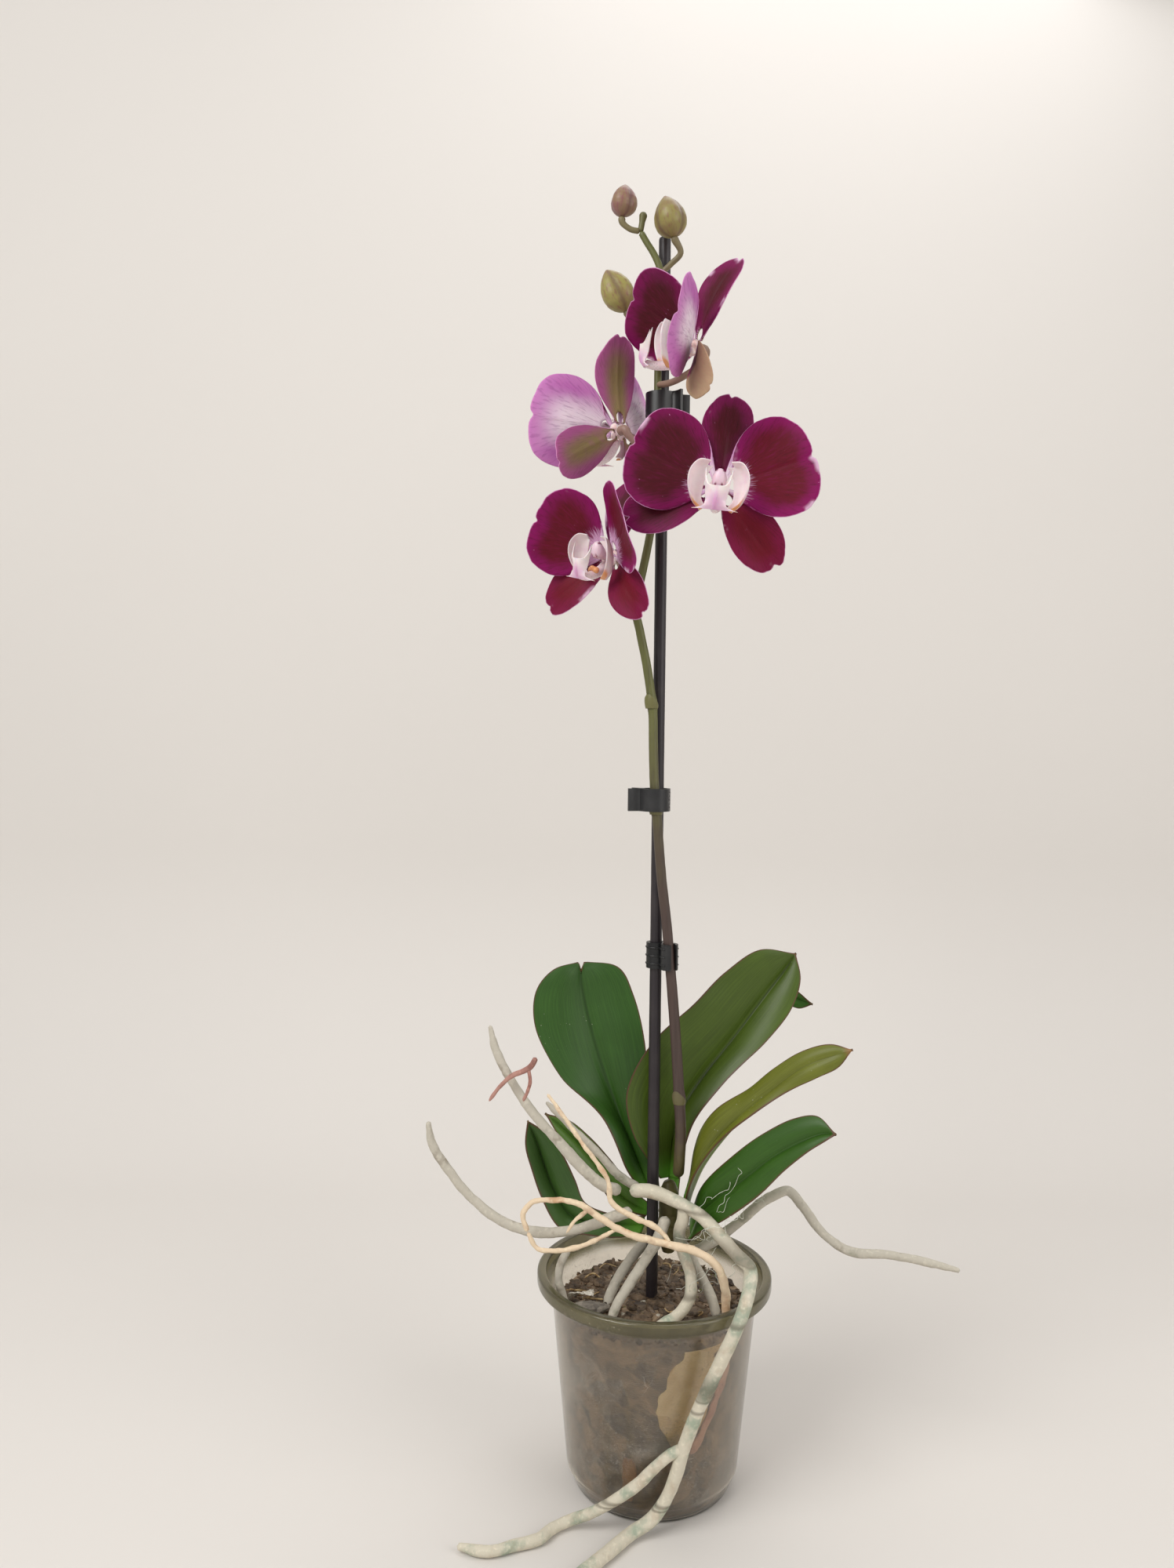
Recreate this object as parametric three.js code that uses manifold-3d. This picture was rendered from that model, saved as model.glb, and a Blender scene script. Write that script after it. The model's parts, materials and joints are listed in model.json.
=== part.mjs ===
// A potted moth orchid: a smoky clear pot of bark, a short crown with fleshy leaves and aerial roots,
// and a flower spike held to a stake by three black clips, two of which are spring claws.
// Millimetres, +Z up, the plant's front faces -Y, and the origin is the centre of the pot's underside.

import * as THREE from "three";
import { mergeVertices } from "three/addons/utils/BufferGeometryUtils.js";
import Module from "manifold-3d";

const wasm = await Module();
wasm.setup();

// ---------------------------------------------------------------------------------------------
// Driving dimensions
// ---------------------------------------------------------------------------------------------

const GAP = 0.35; // air left between pieces that touch

const POT = {
  height: 108,
  rimRadius: 60,
  wallTopRadius: 52.3, // outside of the wall, just under the rim
  wallBottomRadius: 43.9, // outside of the wall, just above the foot
  footRadius: 40.5,
  footHeight: 8.5,
  wall: 1.1,
  floor: 1.8,
  sides: 40,
};
const DRAIN = { count: 8, ring: 26, radius: 4, slotWidth: 9, slotHeight: 1.2 };
const MEDIUM_TOP = 92;

const STAKE = { x: -1, y: 0, radius: 3, bottom: 14, top: 630 };
const CROWN = { x: 8, y: 9, radius: 5.6, bottom: 112, top: 150 };

const STEM_RADIUS = 2.6;
const PEDICEL_RADIUS = 1.5;

const COLOURS = {
  pot: 0x6e5f55,
  medium: 0x322a23,
  chip: 0x55504a,
  stake: 0x2a2428,
  clip: 0x16181a,
  steel: 0x9a9a9c,
  leaf: 0x3f6d28,
  stem: 0x4b5a32,
  root: 0xaaa596,
  driedRoot: 0xebc8a0,
  greenRoot: 0xafbea0,
  sepal: 0x64142c,
  petal: 0x78123c,
  lip: 0xf0e6e6,
  bud: 0x8a8048,
  fleece: 0xe0ddd6,
  twig: 0xb48278,
};

// ---------------------------------------------------------------------------------------------
// Shared helpers
// ---------------------------------------------------------------------------------------------

const group = new THREE.Group();
const radians = THREE.MathUtils.degToRad;
const vector = ([x, y, z]) => new THREE.Vector3(x, y, z);
const curveThrough = (points) =>
  new THREE.CatmullRomCurve3(points.map(vector), false, "centripetal");

function piece(name, geometry, colour, roughness = 0.6, metalness = 0) {
  const material = new THREE.MeshStandardMaterial({ color: colour, roughness, metalness });
  const mesh = new THREE.Mesh(geometry, material);
  mesh.name = name;
  return mesh;
}

// A closed geometry as a manifold solid, whichever way its faces were wound.
function toSolid(geometry) {
  const bare = new THREE.BufferGeometry();
  bare.setAttribute("position", geometry.getAttribute("position").clone());
  if (geometry.index) bare.setIndex(geometry.index.clone());
  const merged = mergeVertices(bare, 1e-3);
  const triVerts = new Uint32Array(merged.index.array);
  const vertProperties = new Float32Array(merged.attributes.position.array);
  const solid = new wasm.Manifold(new wasm.Mesh({ numProp: 3, vertProperties, triVerts }));
  if (solid.volume() > 0) return solid;
  for (let i = 0; i < triVerts.length; i += 3) {
    [triVerts[i + 1], triVerts[i + 2]] = [triVerts[i + 2], triVerts[i + 1]];
  }
  return new wasm.Manifold(new wasm.Mesh({ numProp: 3, vertProperties, triVerts }));
}

function toGeometry(solid) {
  const mesh = solid.simplify(0.01).getMesh();
  const geometry = new THREE.BufferGeometry();
  geometry.setAttribute("position", new THREE.BufferAttribute(mesh.vertProperties, 3));
  geometry.setIndex(new THREE.BufferAttribute(mesh.triVerts, 1));
  geometry.computeVertexNormals();
  return geometry;
}

function join(...geometries) {
  return toGeometry(geometries.map(toSolid).reduce((whole, next) => whole.add(next)));
}

function cut(geometry, ...tools) {
  return toGeometry(tools.map(toSolid).reduce((left, tool) => left.subtract(tool), toSolid(geometry)));
}

function placed(geometry, x, y, z) {
  return geometry.clone().translate(x, y, z);
}

// A cylinder that stands along Z between two heights.
function post(radius, low, high, sides = 24) {
  const cylinder = new THREE.CylinderGeometry(radius, radius, high - low, sides);
  return cylinder.rotateX(Math.PI / 2).translate(0, 0, (low + high) / 2);
}

function block(x, y, z, width, depth, height) {
  return new THREE.BoxGeometry(width, depth, height).translate(x, y, z);
}

// A round rod along a smooth curve; radiusAt(t) is its radius from t = 0 to t = 1.
function rod(points, radiusAt, sides = 8, steps = 3 * (points.length - 1)) {
  const curve = curveThrough(points);
  const section = [];
  for (let i = 0; i < sides; i++) {
    const angle = (2 * Math.PI * i) / sides;
    section.push(new THREE.Vector2(Math.cos(angle), Math.sin(angle)));
  }
  const geometry = new THREE.ExtrudeGeometry(new THREE.Shape(section), {
    steps,
    extrudePath: curve,
  });
  const stations = curve.getSpacedPoints(steps);
  const position = geometry.getAttribute("position");
  const point = new THREE.Vector3();
  for (let i = 0; i < position.count; i++) {
    point.fromBufferAttribute(position, i);
    let nearest = 0;
    for (let k = 1; k <= steps; k++) {
      if (point.distanceToSquared(stations[k]) < point.distanceToSquared(stations[nearest])) nearest = k;
    }
    point.sub(stations[nearest]).multiplyScalar(radiusAt(nearest / steps)).add(stations[nearest]);
    position.setXYZ(i, point.x, point.y, point.z);
  }
  return geometry;
}

// Radius of a rod that narrows evenly from base to end and closes with a blunt tip.
function tapered(base, end, tip = 0.45) {
  return (t) => (base + (end - base) * t) * (t > 0.99 ? tip : 1);
}

// A thin closed body on surface(u, v): u from the base (0) to the tip (1), v from margin to margin
// (-1 to 1). Its two faces meet along both margins and at the tip.
function blade(surface, rows, columns, thicknessAt) {
  const positions = [];
  const known = new Map();
  const lastRow = rows.length - 1;
  const lastColumn = columns.length - 1;

  function normalAt(u, v) {
    const step = 0.004;
    const u0 = Math.max(u - step, 0);
    const u1 = Math.min(u + step, 1);
    const v0 = Math.max(v - step, -1);
    const v1 = Math.min(v + step, 1);
    const along = surface(u1, v).sub(surface(u0, v));
    const across = surface(u, v1).sub(surface(u, v0));
    return across.cross(along).normalize();
  }

  function vertex(i, j, side) {
    const isTip = i === lastRow;
    const isMargin = j === 0 || j === lastColumn;
    const key = isTip ? "tip" : isMargin ? i + "," + j : i + "," + j + "," + side;
    if (!known.has(key)) {
      const [u, v] = [rows[i], columns[j]];
      const point = surface(u, isTip ? 0 : v);
      if (!isTip && !isMargin) point.addScaledVector(normalAt(u, v), (side * thicknessAt(u, v)) / 2);
      known.set(key, positions.length / 3);
      positions.push(point.x, point.y, point.z);
    }
    return known.get(key);
  }

  const index = [];
  function face(...corners) {
    const [a, b, c, d] = corners;
    if (a !== b && b !== c && a !== c) index.push(a, b, c);
    if (a !== c && c !== d && a !== d) index.push(a, c, d);
  }
  for (let i = 0; i < lastRow; i++) {
    for (let j = 0; j < lastColumn; j++) {
      face(vertex(i, j, 1), vertex(i, j + 1, 1), vertex(i + 1, j + 1, 1), vertex(i + 1, j, 1));
      face(vertex(i, j, -1), vertex(i + 1, j, -1), vertex(i + 1, j + 1, -1), vertex(i, j + 1, -1));
    }
  }
  for (let j = 0; j < lastColumn; j++) {
    face(vertex(0, j, 1), vertex(0, j, -1), vertex(0, j + 1, -1), vertex(0, j + 1, 1));
  }

  const geometry = new THREE.BufferGeometry();
  geometry.setAttribute("position", new THREE.Float32BufferAttribute(positions, 3));
  geometry.setIndex(index);
  return toGeometry(toSolid(geometry));
}

// ---------------------------------------------------------------------------------------------
// Pot and growing medium
// ---------------------------------------------------------------------------------------------

function makePot() {
  const { height, rimRadius: rim, wallTopRadius: top, wallBottomRadius: bottom, wall } = POT;
  const { footRadius: foot, footHeight, floor } = POT;
  const profile = [
    [0, 0],
    [foot - 1.5, 0],
    [foot, 1],
    [bottom - 0.7, footHeight],
    [bottom, footHeight + 1],
    [top, height - 12],
    [top + 1.4, height - 8],
    [rim - 1, height - 6.6],
    [rim, height - 5.6],
    [rim, height - 1],
    [rim - 1, height],
    [rim - 4.4, height],
    [rim - 6.2, height - 5],
    [top - wall - 0.3, height - 12],
    [bottom - wall - 0.4, footHeight + 1],
    [foot - 0.6, floor],
    [0, floor],
  ];
  const outline = profile.map(([r, z]) => new THREE.Vector2(r, z));
  const body = new THREE.LatheGeometry(outline, POT.sides).rotateX(Math.PI / 2);
  const cutters = [];
  for (let i = 0; i < DRAIN.count; i++) {
    const angle = (2 * Math.PI * (i + 0.5)) / DRAIN.count;
    const [x, y] = [Math.cos(angle), Math.sin(angle)];
    cutters.push(placed(post(DRAIN.radius, -1, floor + 1, 8), DRAIN.ring * x, DRAIN.ring * y, 0));
    const slot = new THREE.BoxGeometry(14, DRAIN.slotWidth, 2 * DRAIN.slotHeight).rotateZ(angle);
    cutters.push(slot.translate(foot * x, foot * y, 0));
  }
  return piece("pot", cut(body, ...cutters), COLOURS.pot, 0.35);
}

// Bark, moss and perlite packed to the shape of the pot, with sockets for the stake and the roots.
function makeMedium(sockets) {
  const { wallTopRadius: top, wallBottomRadius: bottom, wall, footHeight, footRadius, floor } = POT;
  const inside = (z) => {
    const t = (z - footHeight - 1) / (POT.height - 12 - footHeight - 1);
    return bottom - wall - 0.3 + (top - bottom) * t - GAP;
  };
  const profile = [
    [0, floor + GAP],
    [footRadius - 1.6, floor + GAP],
    [bottom - wall - 1.8, footHeight + 0.5],
    [inside(footHeight + 4), footHeight + 4],
    [inside(MEDIUM_TOP - 3), MEDIUM_TOP - 3],
    [inside(MEDIUM_TOP) - 3, MEDIUM_TOP],
    [36, MEDIUM_TOP + 0.5],
    [22, MEDIUM_TOP + 1.5],
    [0, MEDIUM_TOP + 2],
  ];
  const outline = profile.map(([r, z]) => new THREE.Vector2(r, z));
  const bulk = new THREE.LatheGeometry(outline, 28).rotateX(Math.PI / 2);
  return piece("bark_medium", cut(bulk, ...sockets), COLOURS.medium, 0.9);
}

// Loose flakes of bark that lie on the medium: where, how big and how far turned.
const CHIPS = {
  bark_chip_slab: { at: [-33, -20], size: [22, 9, 6], turn: 10 },
  bark_chip_oval: { at: [-12, -37], size: [10, 6, 4], turn: 20 },
};
const CHIP_REST = MEDIUM_TOP + 0.9 + GAP;

function makeChip(name) {
  const { at, size, turn } = CHIPS[name];
  const flake = new THREE.IcosahedronGeometry(0.5, 1).scale(...size);
  flake.rotateZ(radians(turn)).translate(...at, CHIP_REST + size[2] / 2);
  return piece(name, toGeometry(toSolid(flake)), COLOURS.chip, 0.85);
}

// A torn scrap of the fleece that once wrapped the young plant's plug.
function makeFleece() {
  const surface = (u, v) => {
    const edge = new THREE.Vector3(13 * u - 44, -7 - 4 * v - 3 * u, 95.8 + 7 * u * (1 - 0.5 * u));
    return edge.addScaledVector(new THREE.Vector3(0, 2, 5), (1 - u) * v * 0.6);
  };
  const sheet = blade(surface, [0, 0.35, 0.7, 1], [-1, 0, 1], () => 0.8);
  return piece("fleece_scrap", sheet, COLOURS.fleece, 0.9);
}

function makeStake() {
  const { x, y, radius, bottom, top } = STAKE;
  return piece("support_stake", placed(post(radius, bottom, top, 20), x, y, 0), COLOURS.stake, 0.5);
}

// ---------------------------------------------------------------------------------------------
// Crown and leaves
// ---------------------------------------------------------------------------------------------

// The short upright stem that every leaf, root and the spike grow from.
function makeCrown() {
  const { x, y, radius, bottom, top } = CROWN;
  const profile = [
    [0, bottom],
    [radius * 0.55, bottom + 1],
    [radius * 0.9, bottom + 7],
    [radius, bottom + 16],
    [radius * 0.9, top - 5],
    [radius * 0.5, top],
    [0, top + 0.5],
  ].map(([r, z]) => new THREE.Vector2(r, z));
  const body = new THREE.LatheGeometry(profile, 16).rotateX(Math.PI / 2).translate(x, y, 0);
  return piece("crown", toGeometry(toSolid(body)), COLOURS.leaf);
}

// Each leaf is a left margin, a midrib and a right margin, from the crown outwards, and a shared tip.
const LEAVES = {
  leaf_upper_left: {
    left: [
      [-3, 10, 140], [-14, 7, 156], [-26, 8, 182], [-49, 13, 203], [-63, 19, 228], [-63, 23, 246],
      [-54, 26, 257],
    ],
    mid: [
      [0, 15, 138], [-6, 16, 152], [-14, 17, 171], [-20, 19, 187], [-29, 23, 211], [-36, 27, 235],
      [-39, 29, 251],
    ],
    right: [
      [4, 17, 140], [2, 14, 154], [-2, 13, 173], [-3, 14, 193], [-5, 19, 220], [-11, 25, 244],
      [-19, 29, 258],
    ],
    tip: [-39, 30, 261],
  },
  leaf_upper_right: {
    left: [
      [3.4, 7, 152], [-2, 6.5, 160], [-11, 5.5, 175], [-15, 5, 197], [-3, 6.5, 222], [18, 11, 241],
      [37, 16, 259], [55, 20, 270],
    ],
    mid: [
      [8, 10, 152], [9, 12, 160], [11, 14, 174], [15, 14, 186], [25, 16, 202], [42, 20, 223],
      [59, 24, 245], [70, 26, 259],
    ],
    right: [
      [13, 7, 152], [14, 5, 160], [16, 4, 172], [21, 3, 185], [36, 5, 204], [56, 9, 222],
      [71, 15, 239], [77, 21, 254],
    ],
    tip: [75, 26, 267],
  },
  leaf_middle_right: {
    left: [
      [16, 10, 142], [19, 5, 156], [22, 1, 176], [30, -7, 193], [46, -13, 206], [57, -20, 218],
      [70, -28, 229], [82, -34, 234],
    ],
    mid: [
      [17, 4, 139], [19, -1, 150], [23, -6, 163], [32, -12, 179], [43, -19, 195], [56, -25, 209],
      [69, -32, 222], [82, -37, 229],
    ],
    right: [
      [14, -3, 138], [16, -9, 150], [19, -13, 161], [28, -20, 178], [42, -27, 194], [59, -31, 208],
      [75, -36, 218], [85, -38, 224],
    ],
    tip: [91, -40, 233],
  },
  leaf_lower_right: {
    left: [
      [19, 8, 130], [21, 1, 142], [25, -8, 156], [36, -18, 172], [51, -28, 188], [65, -35, 198],
      [75, -41, 201],
    ],
    mid: [
      [20, 1, 125], [23, -5, 137], [29, -13, 148], [42, -24, 163], [55, -33, 178], [67, -40, 188],
      [77, -45, 194],
    ],
    right: [
      [17, -6, 124], [22, -13, 132], [33, -22, 142], [47, -34, 158], [59, -41, 174],
      [69, -46, 185], [77, -48, 191],
    ],
    tip: [82, -49, 195],
  },
  leaf_lower_left: {
    left: [
      [-6, 14, 120], [-16, 13, 118], [-34, 13, 119], [-49, 16, 121], [-59, 21, 136],
      [-65, 25, 150], [-68, 27, 162],
    ],
    mid: [
      [-4, 18, 123], [-15, 18, 123], [-30, 19, 123], [-43, 24, 125], [-52, 29, 136],
      [-58, 33, 149], [-62, 33, 161],
    ],
    right: [
      [-4, 17, 128], [-15, 17, 128], [-27, 18, 130], [-36, 21, 134], [-41, 25, 144],
      [-47, 29, 155], [-55, 31, 166],
    ],
    tip: [-67, 30, 174],
  },
  leaf_small_left: {
    left: [[-4, 7, 132], [-12, 4.5, 135], [-21, 5, 139], [-30, 6, 151], [-40, 6, 163], [-50, 7, 174]],
    mid: [
      [-3, 11, 133], [-11, 10, 137], [-19, 10, 143], [-28, 11, 155], [-38, 11, 167],
      [-48, 10, 177],
    ],
    right: [
      [-2, 12, 137], [-9, 11, 143], [-15, 10, 151], [-23, 10, 161], [-34, 10, 173], [-44, 10, 181],
    ],
    tip: [-57, 9, 185],
  },
  leaf_rear_right: {
    left: [
      [7.5, 17.5, 136], [9, 20, 153], [12, 24, 174], [17, 30, 196], [31, 36, 216], [49, 40, 234],
      [66, 40, 248], [77, 38, 245],
    ],
    mid: [
      [10, 18, 134], [12, 21, 152], [15, 25, 172], [22, 32, 192], [36, 38, 211], [53, 41, 228],
      [68, 42, 242], [78, 39, 240],
    ],
    right: [
      [13, 17, 133], [15, 20, 151], [18, 24, 170], [26, 30, 188], [40, 36, 206], [57, 40, 222],
      [70, 41, 236], [80, 37, 235],
    ],
    tip: [86, 34, 238],
  },
};

function makeLeaf(name) {
  const { left, mid, right, tip } = LEAVES[name];
  const sides = [left, mid, right];
  const [leftCurve, midCurve, rightCurve] = sides.map((side) => curveThrough([...side, tip]));
  const surface = (u, v) => {
    const rib = midCurve.getPoint(u);
    const margin = (v < 0 ? leftCurve : rightCurve).getPoint(u);
    return rib.lerp(margin, Math.abs(v));
  };
  const rows = [0, 0.1, 0.2, 0.3, 0.4, 0.5, 0.6, 0.7, 0.8, 0.88, 0.94, 0.98, 1];
  const thickness = (u, v) => (2.2 - 1.2 * u) * (1.05 - 0.5 * Math.abs(v));
  return piece(name, blade(surface, rows, [-1, -0.5, 0, 0.5, 1], thickness), COLOURS.leaf, 0.45);
}

// ---------------------------------------------------------------------------------------------
// Flowers
// ---------------------------------------------------------------------------------------------

// Every flower has its own frame at the point where its petals meet: x to the right of someone who
// looks into the flower, y towards the dorsal sepal, z out of its front. Each tepal is given as its
// angle from x, how far it folds forward and how far it is twisted about its own length, in degrees.
const FLOWERS = {
  front: {
    centre: [23, -44, 497],
    faces: [-0.12, -0.98, 0.02],
    up: [0.12, 0, 1],
    scale: 1,
    sepals: { dorsal: [90, -8, 0], left: [203, -1, 0], right: [-46, -8, 0] },
    petals: { left: [160, 10, 0], right: [25, 3, 0] },
    stalk: [[-5.5, -6, 501], [-1, -13, 497], [7, -24, 491], [16, -34, 492]],
  },
  lower: {
    centre: [-27.3, -30, 467],
    faces: [-0.66, -0.75, 0.03],
    up: [0.28, 0, 1],
    scale: 0.9,
    sepals: { dorsal: [90, -16, 0], left: [227, 13, 0], right: [-36, 12, 0] },
    petals: { left: [161, 36, 0], right: [37, 41, 0] },
    stalk: [[-13.5, -6, 447], [-16, -8, 451], [-19, -13, 457], [-21, -19, 463]],
  },
  upper: {
    centre: [9.5, -46, 561],
    faces: [-0.97, -0.1, 0.2],
    up: [0.42, -0.2, 0.9],
    scale: 0.93,
    sepals: { dorsal: [90, -14, 30], left: [180, 3, 0], right: [-24, -8, 0] },
    petals: { left: [144, 50, 0], right: [13, 21, 0] },
    stalk: [[-4, -8, 555], [1.5, -17, 553.5], [7.5, -28, 553.5], [14, -38, 556]],
  },
  rear: {
    centre: [-23.5, -14, 530.5],
    faces: [-0.55, 0.83, 0.06],
    up: [-0.1, 0, 1],
    scale: 0.97,
    sepals: { dorsal: [90, -2, 0], left: [216, 10, 0], right: [-24, -8, 0] },
    petals: { left: [150, 30, 0], right: [11, 22, 0] },
    stalk: [[-7, -6, 518], [-9, -12, 519], [-14, -18, 523], [-19, -19, 528]],
  },
};

// Half-widths along a tepal, as fractions of its length and of its greatest half-width.
const SEPAL_OUTLINE = [
  [0, 0.2], [0.14, 0.46], [0.34, 0.86], [0.55, 1], [0.75, 0.92], [0.9, 0.6], [1, 0],
];
const PETAL_OUTLINE = [
  [0, 0.09], [0.1, 0.22], [0.24, 0.62], [0.42, 0.92], [0.62, 1], [0.8, 0.86], [0.93, 0.52], [1, 0],
];

const SEPAL = { length: 42, halfWidth: 12, arch: 3, outline: SEPAL_OUTLINE };
const PETAL = { length: 42, halfWidth: 23.5, arch: -2, outline: PETAL_OUTLINE };
const TEPAL_START = 3.6; // distance of every tepal's base from the flower's axis
const COLUMN = { length: 11, radius: 3 };
const LIP_REACH = 1.45; // how much further the lip stands out of the flower than it is drawn below

function flowerFrame({ centre, faces, up }) {
  const front = vector(faces).normalize();
  const right = vector(up).cross(front).normalize();
  const dorsal = front.clone().cross(right);
  return new THREE.Matrix4().makeBasis(right, dorsal, front).setPosition(vector(centre));
}

// A tepal grows along +Y in its own frame, then is twisted, folded forward and turned to its angle.
function makeTepal(name, form, scale, [angle, tilt, twist], forward, colour) {
  const [length, halfWidth] = [form.length * scale, form.halfWidth * scale];
  const halfWidthAt = (u) => {
    const after = form.outline.findIndex(([at]) => at >= u);
    if (after < 1) return form.outline[0][1] * halfWidth;
    const [[u0, w0], [u1, w1]] = [form.outline[after - 1], form.outline[after]];
    return (w0 + ((w1 - w0) * (u - u0)) / (u1 - u0)) * halfWidth;
  };
  const surface = (u, v) => {
    const x = halfWidthAt(u) * v;
    const hollow = (1.6 * x * x) / (halfWidth * halfWidth);
    return new THREE.Vector3(x, length * u, form.arch * Math.sin(Math.PI * u) + hollow);
  };
  const rows = form.outline.map(([at]) => at);
  const thickness = (u) => 1.1 - 0.5 * u;
  const mesh = piece(name, blade(surface, rows, [-1, -0.5, 0, 0.5, 1], thickness), colour, 0.5);
  mesh.rotation.set(radians(tilt), radians(twist), radians(angle - 90), "ZXY");
  const direction = radians(angle);
  mesh.position.set(TEPAL_START * Math.cos(direction), TEPAL_START * Math.sin(direction), forward);
  return mesh;
}

// The lip: a waist below the column, two side lobes that stand up beside it, and an anchor in front.
function makeLip(name, scale) {
  const waist = new THREE.SphereGeometry(1, 7, 5).scale(3, 2.8, 3.8).translate(0, -6.6, 6);
  const anchor = blade(
    (u, v) => {
      const halfWidth = [3.4, 4.2, 5, 8.4, 0][Math.round(u * 4)];
      return new THREE.Vector3(halfWidth * v, -5 - 8 * u, 7.5 + 5 * Math.sin(2.4 * u) + 0.9 * v * v);
    },
    [0, 0.25, 0.5, 0.75, 1],
    [-1, -0.5, 0, 0.5, 1],
    () => 1.6,
  );
  const sideLobe = (side) =>
    blade(
      (u, v) => {
        const halfWidth = [2.2, 3.6, 4.4, 3.4, 0][Math.round(u * 4)];
        const height = -7.5 + 15 * u;
        const spread = side * (2.4 + 6.2 * Math.sin(2.2 * u) + 0.6 * v);
        return new THREE.Vector3(spread, height, 9.5 + 2.5 * u + halfWidth * v);
      },
      [0, 0.25, 0.5, 0.75, 1],
      [-1, 0, 1],
      () => 1.4,
    );
  const geometry = join(waist, anchor, sideLobe(-1), sideLobe(1)).scale(scale, scale, LIP_REACH * scale);
  return piece(name, geometry, COLOURS.lip, 0.4);
}

function makeFlower(kind) {
  const { scale, sepals, petals } = FLOWERS[kind];
  const flower = new THREE.Group();
  flowerFrame(FLOWERS[kind]).decompose(flower.position, flower.quaternion, flower.scale);
  for (const [side, place] of Object.entries(sepals)) {
    flower.add(makeTepal(`${kind}_flower_sepal_${side}`, SEPAL, scale, place, -2, COLOURS.sepal));
  }
  for (const [side, place] of Object.entries(petals)) {
    flower.add(makeTepal(`${kind}_flower_petal_${side}`, PETAL, scale, place, 1.1, COLOURS.petal));
  }
  flower.add(makeLip(`${kind}_flower_lip`, scale));
  return flower;
}

// ---------------------------------------------------------------------------------------------
// Spike and buds
// ---------------------------------------------------------------------------------------------

const STEM = [
  [12, 0.5, 156], [12.2, -4, 168], [12.4, -5.5, 182], [11.4, -6, 199], [9.4, -6, 227], [6.6, -6, 259],
  [4, -6.2, 286], [1, -6.8, 310], [-1.5, -7.6, 338], [-3.3, -7.4, 358], [-4, -7, 377],
  [-4.6, -6.6, 395],
  [-7.6, -6, 416], [-11.4, -6, 434], [-14, -6, 447], [-11, -6, 461], [-8.2, -6.2, 475],
  [-5.8, -6.6, 490],
  [-5.2, -7, 514], [-4.7, -7.2, 529], [-4.2, -7.4, 544], [-4, -7.6, 571], [-3.2, -7.8, 590],
  [-3.2, -8, 609], [-6, -8, 617], [-10.6, -8, 624.5], [-13.6, -8, 629.5],
];
const STEM_NODES = [[11.5, -6, 198], [-2.3, -7.5, 345], [-5, -6.6, 398]];

// Buds point along their axis from where they sit on their stalk.
const BUDS = {
  bud_terminal_left: {
    base: [-22.8, -8, 635.5],
    tip: [-21.2, -8, 651.5],
    radius: 6.6,
    stalk: [[-13.6, -8, 629.5], [-18.5, -8, 630.5], [-22.4, -8, 633.5]],
  },
  bud_terminal_right: {
    base: [3, -13.5, 623.5],
    tip: [-2, -13.5, 643.8],
    radius: 8,
    stalk: [[-3, -8, 609.5], [1.5, -10, 613], [6, -12.5, 617.5]],
  },
  bud_left: {
    base: [-19.6, -6, 590.5],
    tip: [-30, -6, 611],
    radius: 8,
    stalk: [[-4, -7.7, 578], [-9, -8, 580], [-15, -7, 584]],
  },
};
const GROWING_TIP = [[-13.6, -8, 629], [-12.8, -8, 634], [-12, -8, 639]];

// The stem with its swollen nodes, the flowers' stalks and columns, the buds' stalks and the growing
// tip are one grown piece.
function makeSpike() {
  const parts = [rod(STEM, (t) => STEM_RADIUS * (1.12 - 0.5 * t), 7, 44)];
  for (const [x, y, z] of STEM_NODES) {
    parts.push(new THREE.SphereGeometry(1, 8, 4).scale(3, 3, 3.6).translate(x, y, z));
  }
  for (const flower of Object.values(FLOWERS)) {
    const frame = flowerFrame(flower);
    const local = (x, y, z) => new THREE.Vector3(x, y, z).applyMatrix4(frame).toArray();
    const ovary = local(0, 0, -6);
    const neck = local(0, 0, -1);
    parts.push(rod([...flower.stalk, ovary, neck], (t) => PEDICEL_RADIUS + 0.9 * t, 6, 9));
    const columnPath = [neck, local(0, 0.4, 3), local(0, 1.6, COLUMN.length * flower.scale)];
    parts.push(rod(columnPath, (t) => (2.3 + (COLUMN.radius - 2.3) * t) * flower.scale, 6, 3));
  }
  for (const { base, stalk } of Object.values(BUDS)) {
    parts.push(rod([...stalk, base], () => PEDICEL_RADIUS, 6, 6));
  }
  parts.push(rod(GROWING_TIP, tapered(1.6, 1.8, 0.6), 6, 3));
  return piece("flower_spike", join(...parts), COLOURS.stem);
}

function makeBud(name) {
  const { base, tip, radius } = BUDS[name];
  const axis = vector(tip).sub(vector(base));
  const length = axis.length();
  const profile = [
    [0, 0], [0.45, 0.05], [0.85, 0.22], [1, 0.45], [0.9, 0.68], [0.6, 0.88], [0.2, 0.99], [0, 1],
  ];
  const outline = profile.map(([r, z]) => new THREE.Vector2(r * radius, z * length));
  const mesh = piece(name, toGeometry(toSolid(new THREE.LatheGeometry(outline, 12))), COLOURS.bud);
  axis.normalize();
  mesh.quaternion.setFromUnitVectors(new THREE.Vector3(0, 1, 0), axis);
  mesh.position.copy(vector(base)).addScaledVector(axis, 2 * GAP);
  return mesh;
}

// ---------------------------------------------------------------------------------------------
// Roots
// ---------------------------------------------------------------------------------------------

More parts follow.
